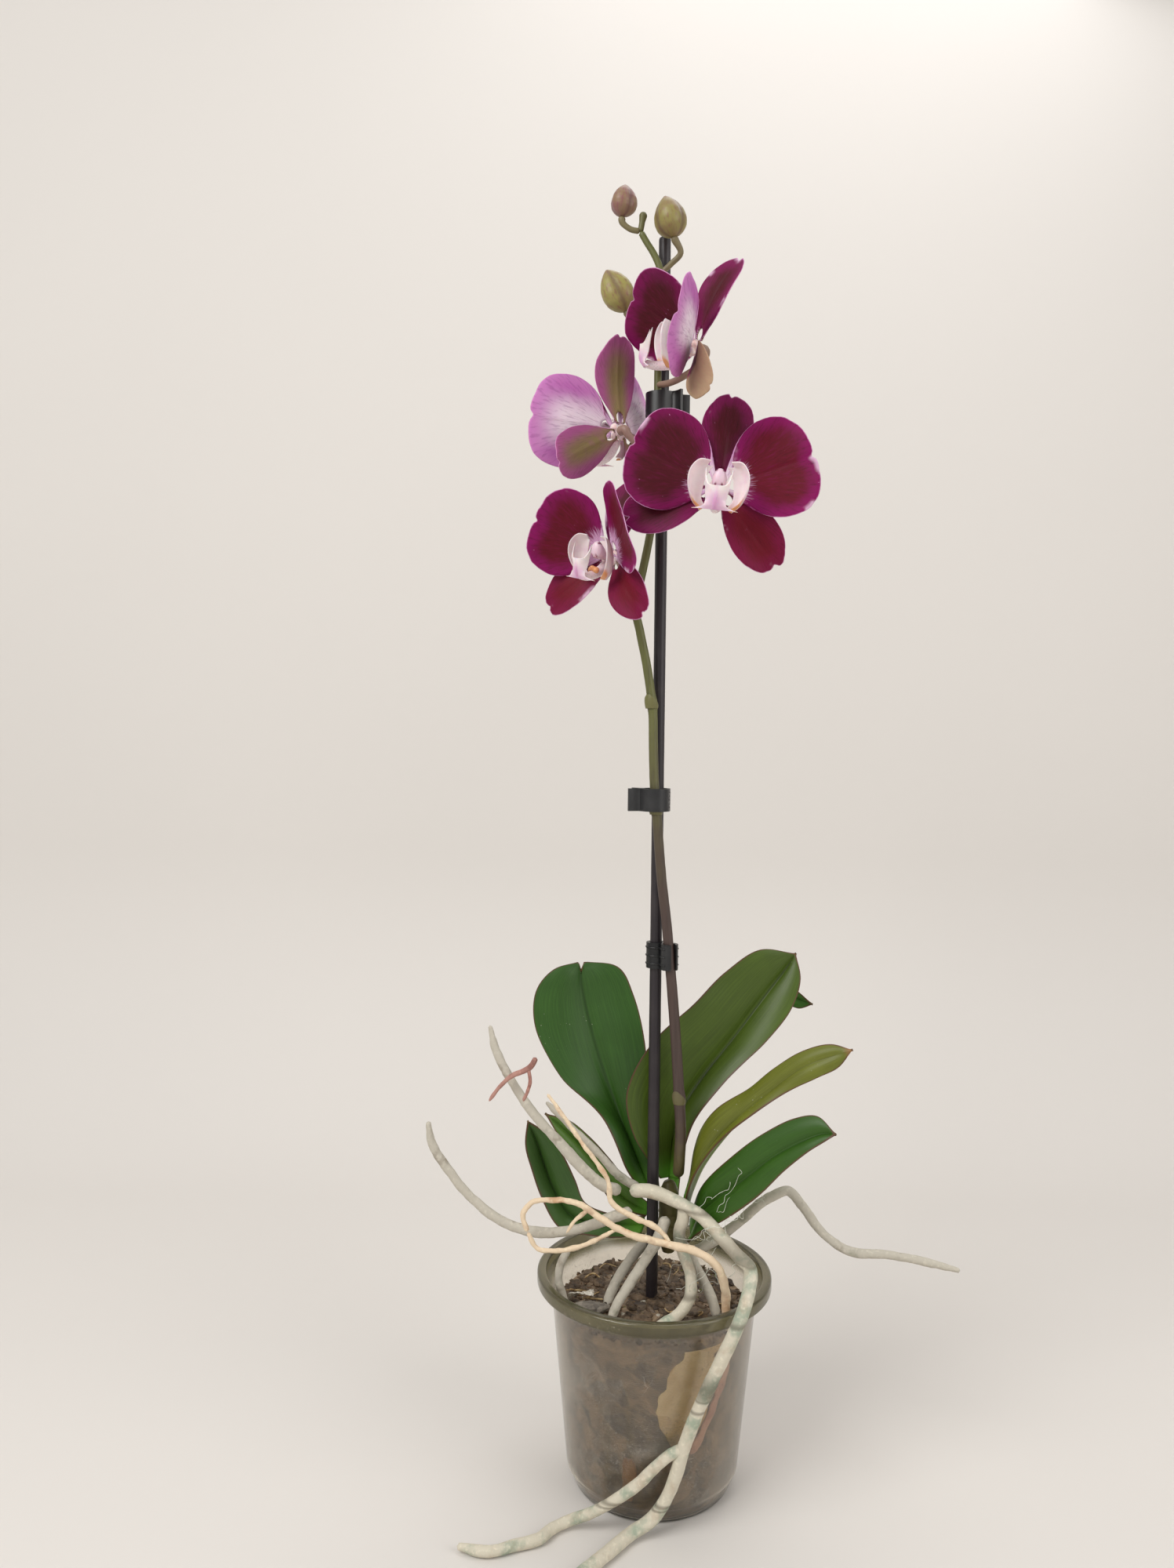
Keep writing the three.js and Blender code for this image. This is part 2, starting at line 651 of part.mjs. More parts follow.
// Centre lines from the crown outwards, with the radius at the crown's end and at the far end.
const ROOTS = {
  root_left_long: {
    path: [
      [-12, -13, 143], [-23, -15, 140], [-40, -15, 134], [-58, -12, 131], [-76, -8, 134],
      [-92, -5, 144], [-106, -4, 160], [-114, -4, 173], [-116, -5, 185],
    ],
    radii: [2.7, 2.2],
  },
  root_left_upper: {
    path: [
      [-18, -14, 153.5], [-27, -17, 157.5], [-36, -18, 165], [-50, -17, 180], [-62, -16, 193],
      [-74, -14, 210], [-81, -12, 223], [-84.5, -11, 236],
    ],
    radii: [3, 1.9],
  },
  root_left_rear: {
    path: [
      [-8, -1.5, 150], [-18, -4, 157], [-30, -8, 171], [-43, -10, 184], [-50, -12, 192],
      [-56, -13, 198],
    ],
    radii: [2.4, 1.5],
  },
  root_right_long: {
    path: [
      [19, -1, 116], [30, -4, 124], [44, -6, 136], [54, -8, 146], [62, -9, 151], [67, -9, 152.5],
      [74, -9, 145], [85, -10, 131], [99, -10, 122], [116, -12, 121.5], [136, -12, 118],
      [154, -12, 113.5],
    ],
    radii: [2.7, 2],
  },
  root_strut_left: {
    path: [
      [5.5, -9.5, 139], [2, -12, 130], [-4, -15, 121], [-13, -20, 109], [-20, -24, 99],
      [-23, -26, 91],
    ],
    radii: [2.9, 2.4],
  },
  root_strut_rear: {
    path: [[0.6, 10.2, 121.6], [-6, 8, 116], [-14, 3, 108], [-21, -4, 99], [-25, -9, 91]],
    radii: [2.8, 2.4],
  },
  root_strut_right: {
    path: [[13, -2.5, 124], [17, -8, 119], [23, -14, 110], [28, -18, 101], [31, -20, 91]],
    radii: [2.9, 2.4],
  },
  root_rim_left: {
    path: [[-44, -8, 121], [-48, -12, 114], [-48.5, -13, 106], [-46, -13, 98], [-44, -13, 90]],
    radii: [2, 2],
  },
};

// The long root in front crosses before the stake, lies over the rim, hangs down the pot and forks.
const FRONT_ROOT = {
  path: [
    [-13.5, -10, 152], [-3, -11.5, 152.5], [9, -13, 148.5], [22, -19, 143], [31, -28, 136.5],
    [39, -36, 130], [43.5, -41.5, 127],
    [42.5, -48, 121], [38.5, -54, 111], [33, -56, 99], [27, -55, 85], [22, -54, 73],
    [16.6, -53, 59], [12, -52, 45], [7.5, -51, 28],
    [3, -50, 17], [-3, -50.5, 9], [-12, -53, 4.4], [-24, -66, 3.6], [-36, -80, 3.5],
    [-48, -95, 3.5], [-57, -109, 3.4],
  ],
  branch: [
    [12, -52, 45], [5, -51.5, 41], [-1, -50.5, 35], [-9, -49.5, 26], [-20.5, -48.5, 17],
    [-31, -47, 10], [-43, -45, 4.2],
    [-50, -49, 3.2], [-56, -56, 3.1], [-67, -60.5, 3.1], [-79, -65, 3.1], [-94, -61, 2.8],
  ],
  strut: [
    [14, -14.5, 147], [13.5, -15, 140], [11.5, -16, 133], [13.5, -18, 124], [17, -22, 114],
    [16, -27, 105], [8, -33, 98], [-1, -36, 95.6],
  ],
};

// A dead root, dried to a tan string: one long loop with a sprig, and a thinner strand from behind.
const DRIED_ROOT = {
  path: [
    [-64, -23.5, 136], [-66.5, -22, 144], [-62, -21.5, 150], [-52, -23, 152], [-40, -25, 151.5],
    [-28, -27.5, 145], [-15, -29.5, 138.5],
    [4, -31, 134], [19, -33, 131], [29, -34, 124], [33, -33, 112], [33.5, -32, 102], [33.5, -32, 92],
  ],
  loop: [[-64, -23.5, 136], [-59, -24, 128], [-45, -26, 128.5], [-31, -28, 134], [-20, -29, 140.5]],
  sprig: [[-34, -26.5, 149], [-41, -27, 143], [-45, -27, 137]],
  strand: [
    [-55, -18.5, 203.5], [-47, -22.5, 194], [-38, -25, 182], [-30, -27, 172], [-24.5, -27.5, 163],
    [-23, -28, 153.5], [-13, -29.3, 147],
    [0, -30, 141], [6, -31, 134.5],
  ],
};

// A short withered twig with two arms, caught on the left-hand root.
const TWIG = {
  stem: [
    [-60.5, -22.5, 223], [-63.5, -22, 218], [-66.5, -21.5, 216], [-73, -21, 213],
    [-79, -20.5, 207], [-84, -20, 200],
  ],
  arm: [[-64.5, -22, 217.5], [-63.5, -22, 211], [-65, -21.5, 205], [-67, -21, 200.5]],
};

function makeRoot(name) {
  const { path, radii } = ROOTS[name];
  const root = rod(path, tapered(...radii), 6, 2 * path.length);
  return piece(name, toGeometry(toSolid(root)), COLOURS.root, 0.8);
}

function makeFrontRoot() {
  const main = rod(FRONT_ROOT.path, tapered(3.3, 3.1), 6, 40);
  const branch = rod(FRONT_ROOT.branch, tapered(2.7, 2.6), 6, 22);
  const strut = rod(FRONT_ROOT.strut, tapered(3.1, 2.9), 6, 12);
  return piece("root_front", join(main, branch, strut), COLOURS.greenRoot, 0.8);
}

function makeDriedRoot() {
  const thickness = (t) => 1.1 + 1.3 * Math.sin(Math.PI * Math.min(t * 1.1, 0.85));
  const main = rod(DRIED_ROOT.path, thickness, 5, 30);
  const loop = rod(DRIED_ROOT.loop, () => 1.1, 5, 10);
  const sprig = rod(DRIED_ROOT.sprig, tapered(1, 0.8), 5, 4);
  const strand = rod(DRIED_ROOT.strand, tapered(0.9, 1.5, 1), 5, 20);
  return piece("root_dried", join(main, loop, sprig, strand), COLOURS.driedRoot, 0.8);
}

function makeTwig() {
  const stem = rod(TWIG.stem, tapered(1.4, 0.9), 6, 12);
  const arm = rod(TWIG.arm, tapered(1, 0.9), 6, 6);
  return piece("withered_twig", join(stem, arm), COLOURS.twig, 0.8);
}

// Holes in the medium for the stake and for every root that grows down into it, a little wider and
// deeper than what they hold.
function mediumSockets() {
  const socket = (path, radius) => {
    const [before, end] = path.slice(-2).map(vector);
    const beyond = end.clone().addScaledVector(end.clone().sub(before).normalize(), 2);
    return rod([...path.slice(-4), beyond.toArray()], () => radius + GAP, 8, 10);
  };
  const buried = ["root_strut_left", "root_strut_rear", "root_strut_right", "root_rim_left"];
  const sockets = buried.map((name) => socket(ROOTS[name].path, ROOTS[name].radii[0] + 0.2));
  sockets.push(socket(DRIED_ROOT.path, 2.4));
  sockets.push(placed(post(STAKE.radius + GAP, STAKE.bottom - 1, 120, 20), STAKE.x, STAKE.y, 0));
  return sockets;
}

// ---------------------------------------------------------------------------------------------
// Clips
// ---------------------------------------------------------------------------------------------

// A moulded clip with two open rings side by side, one for the stake and one for the stem.
function makeDoubleClip() {
  const [low, high] = [264, 277];
  const ring = (x, y, inner, mouth) => {
    const outer = post(inner + 1.6, low, high, 16);
    const bore = post(inner, low - 1, high + 1, 16);
    const opening = block((inner + 3) / 2, 0, (low + high) / 2, inner + 3, inner * 1.1, high - low + 2);
    return placed(cut(outer, bore, opening.rotateZ(radians(mouth))), x, y, 0);
  };
  const stakeRing = ring(STAKE.x, STAKE.y, STAKE.radius + GAP, 100);
  const stemRing = ring(5.4, -6.1, 2.9, -60);
  const stem = rod(STEM.slice(4, 8), () => STEM_RADIUS * 1.05 + GAP, 12, 12);
  return piece("clip_lower", cut(join(stakeRing, stemRing), stem), COLOURS.clip, 0.4);
}

// A strip of even thickness that stands along Z and follows a smooth curve in plan.
function strip(points, thickness, low, high, steps = 16) {
  const curve = new THREE.SplineCurve(points.map(([x, y]) => new THREE.Vector2(x, y)));
  const [left, right] = [[], []];
  for (let i = 0; i <= steps; i++) {
    const tangent = curve.getTangent(i / steps);
    const offset = new THREE.Vector2(-tangent.y, tangent.x).multiplyScalar(thickness / 2);
    left.push(curve.getPoint(i / steps).add(offset));
    right.unshift(curve.getPoint(i / steps).sub(offset));
  }
  const shape = new THREE.Shape([...left, ...right]);
  const extrusion = { depth: high - low, bevelEnabled: false };
  return new THREE.ExtrudeGeometry(shape, extrusion).translate(0, 0, low);
}

// A spring claw in its own frame: its hinge is at -X, its teeth at +X, and the stem and the stake lie
// along Y through its middle. turn swings that frame about Z, and sides names its jaws.
const OPENING_SIDE = -1;
const CLAWS = {
  clip_middle: { centre: [-1.8, -3.8], low: 344, turn: -12, sides: { "-1": "front", 1: "rear" } },
  clip_top: { centre: [-2.6, -3.7], low: 540, turn: 156.6, sides: { "-1": "rear", 1: "front" } },
};
const SPRING = { turns: 3, bore: 1.2, valley: 1.45, crest: 1.85 };
const CLAW = {
  height: 11.4,
  wall: 1.5,
  hingeX: -8,
  pinRadius: 0.8,
  boreRadius: 1.15,
  knuckleRadius: 2,
  knuckle: 1.9, // height of each hinge knuckle
  teeth: 6, // shared by the two jaws
  outline: [
    [-13.4, 6], [-10.8, 4.1], [-8, 3.5], [-6, 5.2], [-3.4, 7.6], [0, 8.2], [3.4, 7], [5.4, 4.2],
    [6, 1], [5.8, -1.8],
  ],
};

// One jaw: a thumb tab, a curved wall and interlacing teeth, with two knuckles round the hinge pin.
// The jaw that keeps still carries the pin.
function makeJaw(name, side, low, hasPin) {
  const { height, wall, hingeX, pinRadius, boreRadius, knuckleRadius, knuckle, teeth } = CLAW;
  const outline = CLAW.outline.map(([x, y]) => [x, side * y]);
  const high = low + height;
  const first = hasPin ? 0 : knuckle + GAP;
  const wallStart = 3.5;
  const parts = [strip(outline, wall, low, high)];
  for (const start of [low + first, high - first - knuckle]) {
    parts.push(placed(post(knuckleRadius, start, start + knuckle, 10), hingeX, 0, 0));
    parts.push(block(hingeX, (side * wallStart) / 2, start + knuckle / 2, 2.4, wallStart, knuckle));
  }
  const pitch = height / teeth;
  const gaps = [];
  for (let tooth = side > 0 ? 0 : 1; tooth < teeth; tooth += 2) {
    const middle = low + (tooth + 0.5) * pitch;
    gaps.push(block(6, -side * 0.6, middle, 5, 6.2, pitch + GAP));
  }
  if (hasPin) {
    const pin = placed(post(pinRadius, low + 0.5, high - 0.5, 8), hingeX, 0, 0);
    return piece(name, join(cut(join(...parts), ...gaps), pin), COLOURS.clip, 0.4);
  }
  gaps.push(placed(post(boreRadius, low - 1, high + 1, 10), hingeX, 0, 0));
  return piece(name, cut(join(...parts), ...gaps), COLOURS.clip, 0.4);
}

// The torsion spring: touching turns of wire round the pin, between the inner knuckles.
function makeSpring(name, low) {
  const inner = 2 * (CLAW.knuckle + GAP);
  const [start, end] = [low + inner + GAP, low + CLAW.height - inner - GAP];
  const { turns, bore, valley, crest } = SPRING;
  const pitch = (end - start) / turns;
  const profile = [[bore, start]];
  for (let i = 0; i < turns; i++) {
    const turn = start + pitch * i;
    profile.push([valley, turn], [crest, turn + 0.3 * pitch], [crest, turn + 0.7 * pitch]);
  }
  profile.push([valley, end], [bore, end], [bore, start]);
  const outline = profile.map(([r, z]) => new THREE.Vector2(r, z));
  const coil = new THREE.LatheGeometry(outline, 10).rotateX(Math.PI / 2).translate(CLAW.hingeX, 0, 0);
  return piece(name, toGeometry(toSolid(coil)), COLOURS.steel, 0.3, 1);
}

function makeClaw(name) {
  const { centre, low, turn, sides } = CLAWS[name];
  const claw = new THREE.Group();
  claw.position.set(centre[0], centre[1], 0);
  claw.rotation.z = radians(turn);
  for (const side of [-1, 1]) {
    claw.add(makeJaw(`${name}_${sides[side]}_jaw`, side, low, side !== OPENING_SIDE));
  }
  claw.add(makeSpring(`${name}_spring`, low));
  return claw;
}

// ---------------------------------------------------------------------------------------------
// Assembly
// ---------------------------------------------------------------------------------------------

group.add(makePot(), makeMedium(mediumSockets()), makeStake(), makeCrown(), makeSpike());
for (const name of Object.keys(CHIPS)) group.add(makeChip(name));
group.add(makeFleece());
for (const name of Object.keys(LEAVES)) group.add(makeLeaf(name));
for (const kind of Object.keys(FLOWERS)) group.add(makeFlower(kind));
for (const name of Object.keys(BUDS)) group.add(makeBud(name));
for (const name of Object.keys(ROOTS)) group.add(makeRoot(name));
group.add(makeFrontRoot(), makeDriedRoot(), makeTwig());
group.add(makeDoubleClip());
for (const name of Object.keys(CLAWS)) group.add(makeClaw(name));

export default group;
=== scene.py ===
"""A potted moth orchid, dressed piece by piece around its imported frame.

Sizes in the tables are millimetres in the frame's own axes, and every mesh is made in metres.
"""

import json
import logging
import math
from dataclasses import dataclass, field
from enum import Enum
from typing import Callable, Iterable, Sequence

import bmesh
import bpy
import numpy as np
from mathutils import Matrix, Vector, noise

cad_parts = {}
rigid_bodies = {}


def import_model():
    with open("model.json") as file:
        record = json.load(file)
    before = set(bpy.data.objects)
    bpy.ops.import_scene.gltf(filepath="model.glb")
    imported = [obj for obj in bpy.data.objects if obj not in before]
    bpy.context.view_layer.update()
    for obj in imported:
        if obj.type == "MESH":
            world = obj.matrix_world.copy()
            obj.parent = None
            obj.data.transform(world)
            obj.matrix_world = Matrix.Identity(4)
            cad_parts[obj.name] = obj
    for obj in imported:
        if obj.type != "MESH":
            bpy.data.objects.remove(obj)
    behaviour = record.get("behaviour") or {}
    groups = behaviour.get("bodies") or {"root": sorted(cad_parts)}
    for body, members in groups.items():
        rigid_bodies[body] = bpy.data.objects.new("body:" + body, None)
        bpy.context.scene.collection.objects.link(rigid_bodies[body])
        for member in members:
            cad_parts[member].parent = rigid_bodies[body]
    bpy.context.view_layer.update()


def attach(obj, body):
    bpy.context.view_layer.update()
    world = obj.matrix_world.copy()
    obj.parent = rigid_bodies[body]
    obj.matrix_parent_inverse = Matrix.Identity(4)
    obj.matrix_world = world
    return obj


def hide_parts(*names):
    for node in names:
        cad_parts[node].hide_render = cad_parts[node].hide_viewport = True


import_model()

LOG = logging.getLogger("orchid")
MM = 0.001

Array = np.ndarray
Piece = bpy.types.Object
Material = bpy.types.Material
Socket = bpy.types.NodeSocket
Colour = tuple[float, float, float]
Points = Sequence[Sequence[float]]


class Body(Enum):
    """The rigid bodies of the frame that pieces ride on."""

    PLANT = "plant"
    MIDDLE_JAW = "clip_middle_jaw"
    TOP_JAW = "clip_top_jaw"


class Side(Enum):
    """The two sides of a leaf or a flower, as signs of its across direction."""

    LEFT = -1
    RIGHT = 1


# ---- Curves and meshes ----


def rgb(red: int, green: int, blue: int) -> Colour:
    """Turn a display colour into the linear light a shader works in.

    Args:
        red: Red from 0 to 255.
        green: Green from 0 to 255.
        blue: Blue from 0 to 255.

    Returns:
        The three linear channels.
    """
    shares = [channel / 255 for channel in (red, green, blue)]
    return tuple(s / 12.92 if s <= 0.04045 else ((s + 0.055) / 1.055) ** 2.4 for s in shares)


def shade(colour: Colour, share: float) -> Colour:
    """Make a colour darker or lighter, up to full strength."""
    return tuple(min(1, channel * share) for channel in colour)


def smoothstep(value: Array, low: float, high: float) -> Array:
    """Rise smoothly from 0 at low to 1 at high.

    Args:
        value: The values to grade.
        low: Where the rise starts.
        high: Where the rise ends; it may be below low for a fall.

    Returns:
        The graded values.
    """
    share = np.clip((value - low) / (high - low), 0, 1)
    return share * share * (3 - 2 * share)


def curve_at(points: Points, shares: Array) -> Array:
    """Find points on the smooth curve through some points.

    Args:
        points: The points the curve passes through.
        shares: Places along it, from 0 at the first point to 1 at the last, evenly by span.

    Returns:
        One point per share.
    """
    knots = np.asarray(points, float)
    spans = len(knots) - 1
    padded = np.vstack([2 * knots[0] - knots[1], knots, 2 * knots[-1] - knots[-2]])
    place = np.clip(shares, 0, 1) * spans
    span = np.minimum(place.astype(int), spans - 1)
    t = (place - span)[:, None]
    p0, p1, p2, p3 = (padded[span + k] for k in range(4))
    d0, d1, d2 = (
        np.maximum(np.linalg.norm(b - a, axis=1, keepdims=True) ** 0.5, 1e-4)
        for a, b in ((p0, p1), (p1, p2), (p2, p3))
    )
    start = ((p1 - p0) / d0 - (p2 - p0) / (d0 + d1) + (p2 - p1) / d1) * d1
    end = ((p2 - p1) / d1 - (p3 - p1) / (d1 + d2) + (p3 - p2) / d2) * d1
    return (
        (2 * t**3 - 3 * t**2 + 1) * p1
        + (t**3 - 2 * t**2 + t) * start
        + (3 * t**2 - 2 * t**3) * p2
        + (t**3 - t**2) * end
    )


def even_path(points: Points, step: float) -> Array:
    """Walk the smooth curve through some points in even steps.

    Args:
        points: The points the curve passes through.
        step: The length of a step.

    Returns:
        Points that lie a step apart, both ends included.
    """
    fine = curve_at(points, np.linspace(0, 1, 40 * len(points)))
    travelled = np.concatenate([[0], np.cumsum(np.linalg.norm(np.diff(fine, axis=0), axis=1))])
    stops = np.linspace(0, travelled[-1], max(3, int(travelled[-1] / step) + 1))
    return np.column_stack([np.interp(stops, travelled, fine[:, k]) for k in range(3)])


def grid_normals(grid: Array) -> Array:
    """Unit normals of a grid of points.

    Args:
        grid: Rows by columns by 3; rows run along the sheet and columns across it.

    Returns:
        One normal per point, towards the sheet's front.
    """
    along, across = np.gradient(grid, axis=0), np.gradient(grid, axis=1)
    normals = np.cross(across, along)
    length = np.linalg.norm(normals, axis=2, keepdims=True)
    for row in range(1, len(grid)):
        flat = length[row, :, 0] < 1e-9
        normals[row, flat], length[row, flat] = normals[row - 1, flat], length[row - 1, flat]
    return normals / np.maximum(length, 1e-9)


def linked(name: str, mesh: bpy.types.Mesh) -> Piece:
    """Put a mesh into the scene as a piece.

    Args:
        name: The piece's name.
        mesh: Its mesh.

    Returns:
        The piece.
    """
    piece = bpy.data.objects.new(name, mesh)
    bpy.context.scene.collection.objects.link(piece)
    return piece


def new_object(
    name: str, vertices: Array, faces: Iterable[Sequence[int]],
    marks: dict[str, Array] | None = None
) -> Piece:
    """Make a mesh object from millimetre points.

    Args:
        name: The piece's name.
        vertices: Its points, in millimetres.
        faces: The points of each face.
        marks: Numbers stored per point for the finishes to read.

    Returns:
        The object, linked to the scene.
    """
    mesh = bpy.data.meshes.new(name)
    mesh.from_pydata((np.asarray(vertices) * MM).tolist(), [], [list(face) for face in faces])
    for key, values in (marks or {}).items():
        layer = mesh.attributes.new(key, "FLOAT", "POINT")
        layer.data.foreach_set("value", np.asarray(values, np.float32).ravel())
    return linked(name, mesh)


def tidy_mesh(piece: Piece, smooth: bool = True) -> Piece:
    """Merge doubled points, turn the faces outwards and set the shading.

    Args:
        piece: The object to tidy.
        smooth: Whether its faces are shaded smooth.

    Returns:
        The same object.
    """
    sheet = bmesh.new()
    sheet.from_mesh(piece.data)
    bmesh.ops.remove_doubles(sheet, verts=sheet.verts, dist=2e-6)
    bmesh.ops.recalc_face_normals(sheet, faces=sheet.faces)
    for face in sheet.faces:
        face.smooth = smooth
    sheet.to_mesh(piece.data)
    sheet.free()
    return piece


def closed_sheet(
    name: str, middle: Array, thickness: Array, marks: dict[str, Array]
) -> Piece:
    """Make a thin closed body from its middle surface.

    Args:
        name: The piece's name.
        middle: Rows by columns by 3 points, in millimetres.
        thickness: Rows by columns, in millimetres.
        marks: Numbers per grid point; "face" is added, 1 on the front and 0 on the back.

    Returns:
        The object, with faces out and its edges closed.
    """
    rows, columns = middle.shape[:2]
    half = grid_normals(middle) * thickness[..., None] / 2
    vertices = np.concatenate([(middle + half).reshape(-1, 3), (middle - half).reshape(-1, 3)])
    back = rows * columns
    number = np.arange(back).reshape(rows, columns)
    faces = []
    for i in range(rows - 1):
        for j in range(columns - 1):
            a, b, c, d = number[i, j], number[i, j + 1], number[i + 1, j + 1], number[i + 1, j]
            faces += [(a, b, c, d), (back + a, back + d, back + c, back + b)]
    rim = [*number[0, :], *number[1:, -1], *number[-1, -2::-1], *number[-2:0:-1, 0]]
    faces += [(a, back + a, back + b, b) for a, b in zip(rim, rim[1:] + rim[:1])]
    doubled = {key: np.tile(np.asarray(value).reshape(-1), 2) for key, value in marks.items()}
    doubled["face"] = np.repeat([1.0, 0.0], back)
    return tidy_mesh(new_object(name, vertices, faces, doubled))


def ring_faces(rings: int, sides: int, closed: bool = False) -> list[tuple[int, int, int, int]]:
    """List the faces between rings of points.

    Args:
        rings: How many rings there are.
        sides: How many points a ring has.
        closed: Whether the last ring joins the first.

    Returns:
        Four point numbers per face.
    """
    turn = [(k, (k + 1) % sides) for k in range(sides)]
    pairs = [(i * sides, (i + 1) % rings * sides) for i in range(rings if closed else rings - 1)]
    return [(low + k, low + m, high + m, high + k) for low, high in pairs for k, m in turn]


def lathe(
    name: str, profile: Points, sides: int, centre: tuple[float, float] = (0, 0),
    radius_at: Callable[[float, float], float] | None = None,
) -> Piece:
    """Turn a profile of (radius, height) about a vertical axis.

    Args:
        name: The piece's name.
        profile: Radius and height pairs, in millimetres; it closes on the axis or on itself.
        sides: How many steps make the turn.
        centre: Where the axis stands.
        radius_at: Scales a radius, given the angle and the height.

    Returns:
        The object, closed and with faces out.
    """
    on_axis = profile[0][0] < 1e-9
    vertices = []
    for radius, height in profile:
        for k in range(sides):
            angle = 2 * math.pi * k / sides
            reach = radius * (radius_at(angle, height) if radius_at else 1)
            vertices.append((centre[0] + reach * math.cos(angle), centre[1] + reach * math.sin(angle),
                height))
    return tidy_mesh(new_object(name, np.array(vertices), ring_faces(len(profile), sides, not on_axis)))


def rounded(profile: Points, reach: float = 0.6, steps: int = 3) -> list[tuple[float, float]]:
    """Round a profile's corners.

    Args:
        profile: Radius and height pairs; the first and last stay where they are.
        reach: How far from a corner its rounding starts, in millimetres.
        steps: How many points make each corner.

    Returns:
        The rounded profile.
    """
    points = [tuple(profile[0])]
    for a, b, c in zip(profile, profile[1:], profile[2:]):
        back, ahead = (min(reach, 0.42 * math.dist(b, q)) / max(math.dist(b, q), 1e-6) for q in (a, c))
        start = [b[k] + (a[k] - b[k]) * back for k in (0, 1)]
        end = [b[k] + (c[k] - b[k]) * ahead for k in (0, 1)]
        for t in np.linspace(0, 1, steps):
            points.append(tuple(float((1 - t) ** 2 * start[k] + 2 * t * (1 - t) * b[k] + t * t * end[k])
                for k in (0, 1)))
    return [*points, tuple(profile[-1])]


def subdivided(profile: Points, step: float) -> list[tuple[float, float]]:
    """Add evenly spaced points along a profile's straight runs.

    Args:
        profile: Radius and height pairs.
        step: The longest run left.

    Returns:
        The finer profile.
    """
    points = [tuple(profile[0])]
    for a, b in zip(profile, profile[1:]):
        count = max(1, int(math.dist(a, b) / step))
        points += [tuple(a[k] + (b[k] - a[k]) * n / count for k in (0, 1)) for n in range(1, count + 1)]
    return points


def set_marks(piece: Piece, marks: dict[str, float]) -> None:
    """Store the same numbers on every point of a mesh.

    Args:
        piece: The piece.
        marks: One number, or one per point, by name.
    """
    for key, value in marks.items():
        layer = piece.data.attributes.get(key) or piece.data.attributes.new(key, "FLOAT", "POINT")
        layer.data.foreach_set("value", np.full(len(piece.data.vertices), value, np.float32))


def bake_modifiers(piece: Piece) -> Piece:
    """Turn a piece and its modifiers into a plain mesh.

    Args:
        piece: The piece.

    Returns:
        The same piece, with no modifiers left.
    """
    graph = bpy.context.evaluated_depsgraph_get()
    mesh = bpy.data.meshes.new_from_object(piece.evaluated_get(graph), preserve_all_data_layers=True,
        depsgraph=graph)
    piece.modifiers.clear()
    piece.data = mesh
    return piece


def blob(
    name: str, balls: Sequence[tuple[Sequence[float], float]], place: Callable[[Array], Array],
    scale: float
) -> Piece:
    """Melt a few overlapping balls into one soft closed lump.

    Args:
        name: The piece's name.
        balls: Each ball's middle and radius, in millimetres.
        place: Moves points to where they belong.
        scale: How much the radii are scaled.

    Returns:
        The lump.
    """
    parts = bmesh.new()
    for middle, radius in balls:
        at = Vector(place(np.asarray([middle], float))[0]) * MM
        bmesh.ops.create_icosphere(parts, subdivisions=3, radius=radius * scale * MM,
            matrix=Matrix.Translation(at))
    mesh = bpy.data.meshes.new(name)
    parts.to_mesh(mesh)
    parts.free()
    piece = linked(name, mesh)
    melt = piece.modifiers.new("melt", "REMESH")
    melt.mode, melt.voxel_size = "VOXEL", 0.35 * MM
    soften = piece.modifiers.new("soften", "SMOOTH")
    soften.factor, soften.iterations = 0.6, 4
    return tidy_mesh(bake_modifiers(piece))


def lumpy(piece: Piece, size: float, height: float, seed: float = 0.0, octaves: int = 3) -> None:
    """Push a mesh in and out along its normals with smooth noise.

    Args:
        piece: The object whose mesh moves.
        size: The size of a lump, in millimetres.
        height: The most a point moves, in millimetres.
        seed: Shifts the noise.
        octaves: How many finer layers are added.
    """
    mesh = piece.data
    normals = [v.normal.copy() for v in mesh.vertices]
    for vertex, normal in zip(mesh.vertices, normals):
        place = vertex.co / (size * MM) + Vector((seed, seed * 1.7, seed * 0.3))
        vertex.co += normal * noise.fractal(place, 1.0, 2.0, octaves) * height * MM


# ---- Geometry-node trees ----


class NodeSheet:
    """Something built from nodes, which it adds and wires."""

    tree: bpy.types.NodeTree

    def add(self, kind: str, inputs: dict[str | int, object] | None = None,
            **settings: object) -> bpy.types.Node:
        """Add a node and wire or set its inputs.

        Args:
            kind: The node's type.
            inputs: Sockets or constants by input name or number.
            settings: The node's own properties.

        Returns:
            The node.
        """
        node = self.tree.nodes.new(kind)
        for key, value in settings.items():
            setattr(node, key, value)
        for key, value in (inputs or {}).items():
            if isinstance(value, Socket):
                self.tree.links.new(value, node.inputs[key])
            else:
                node.inputs[key].default_value = value
        return node


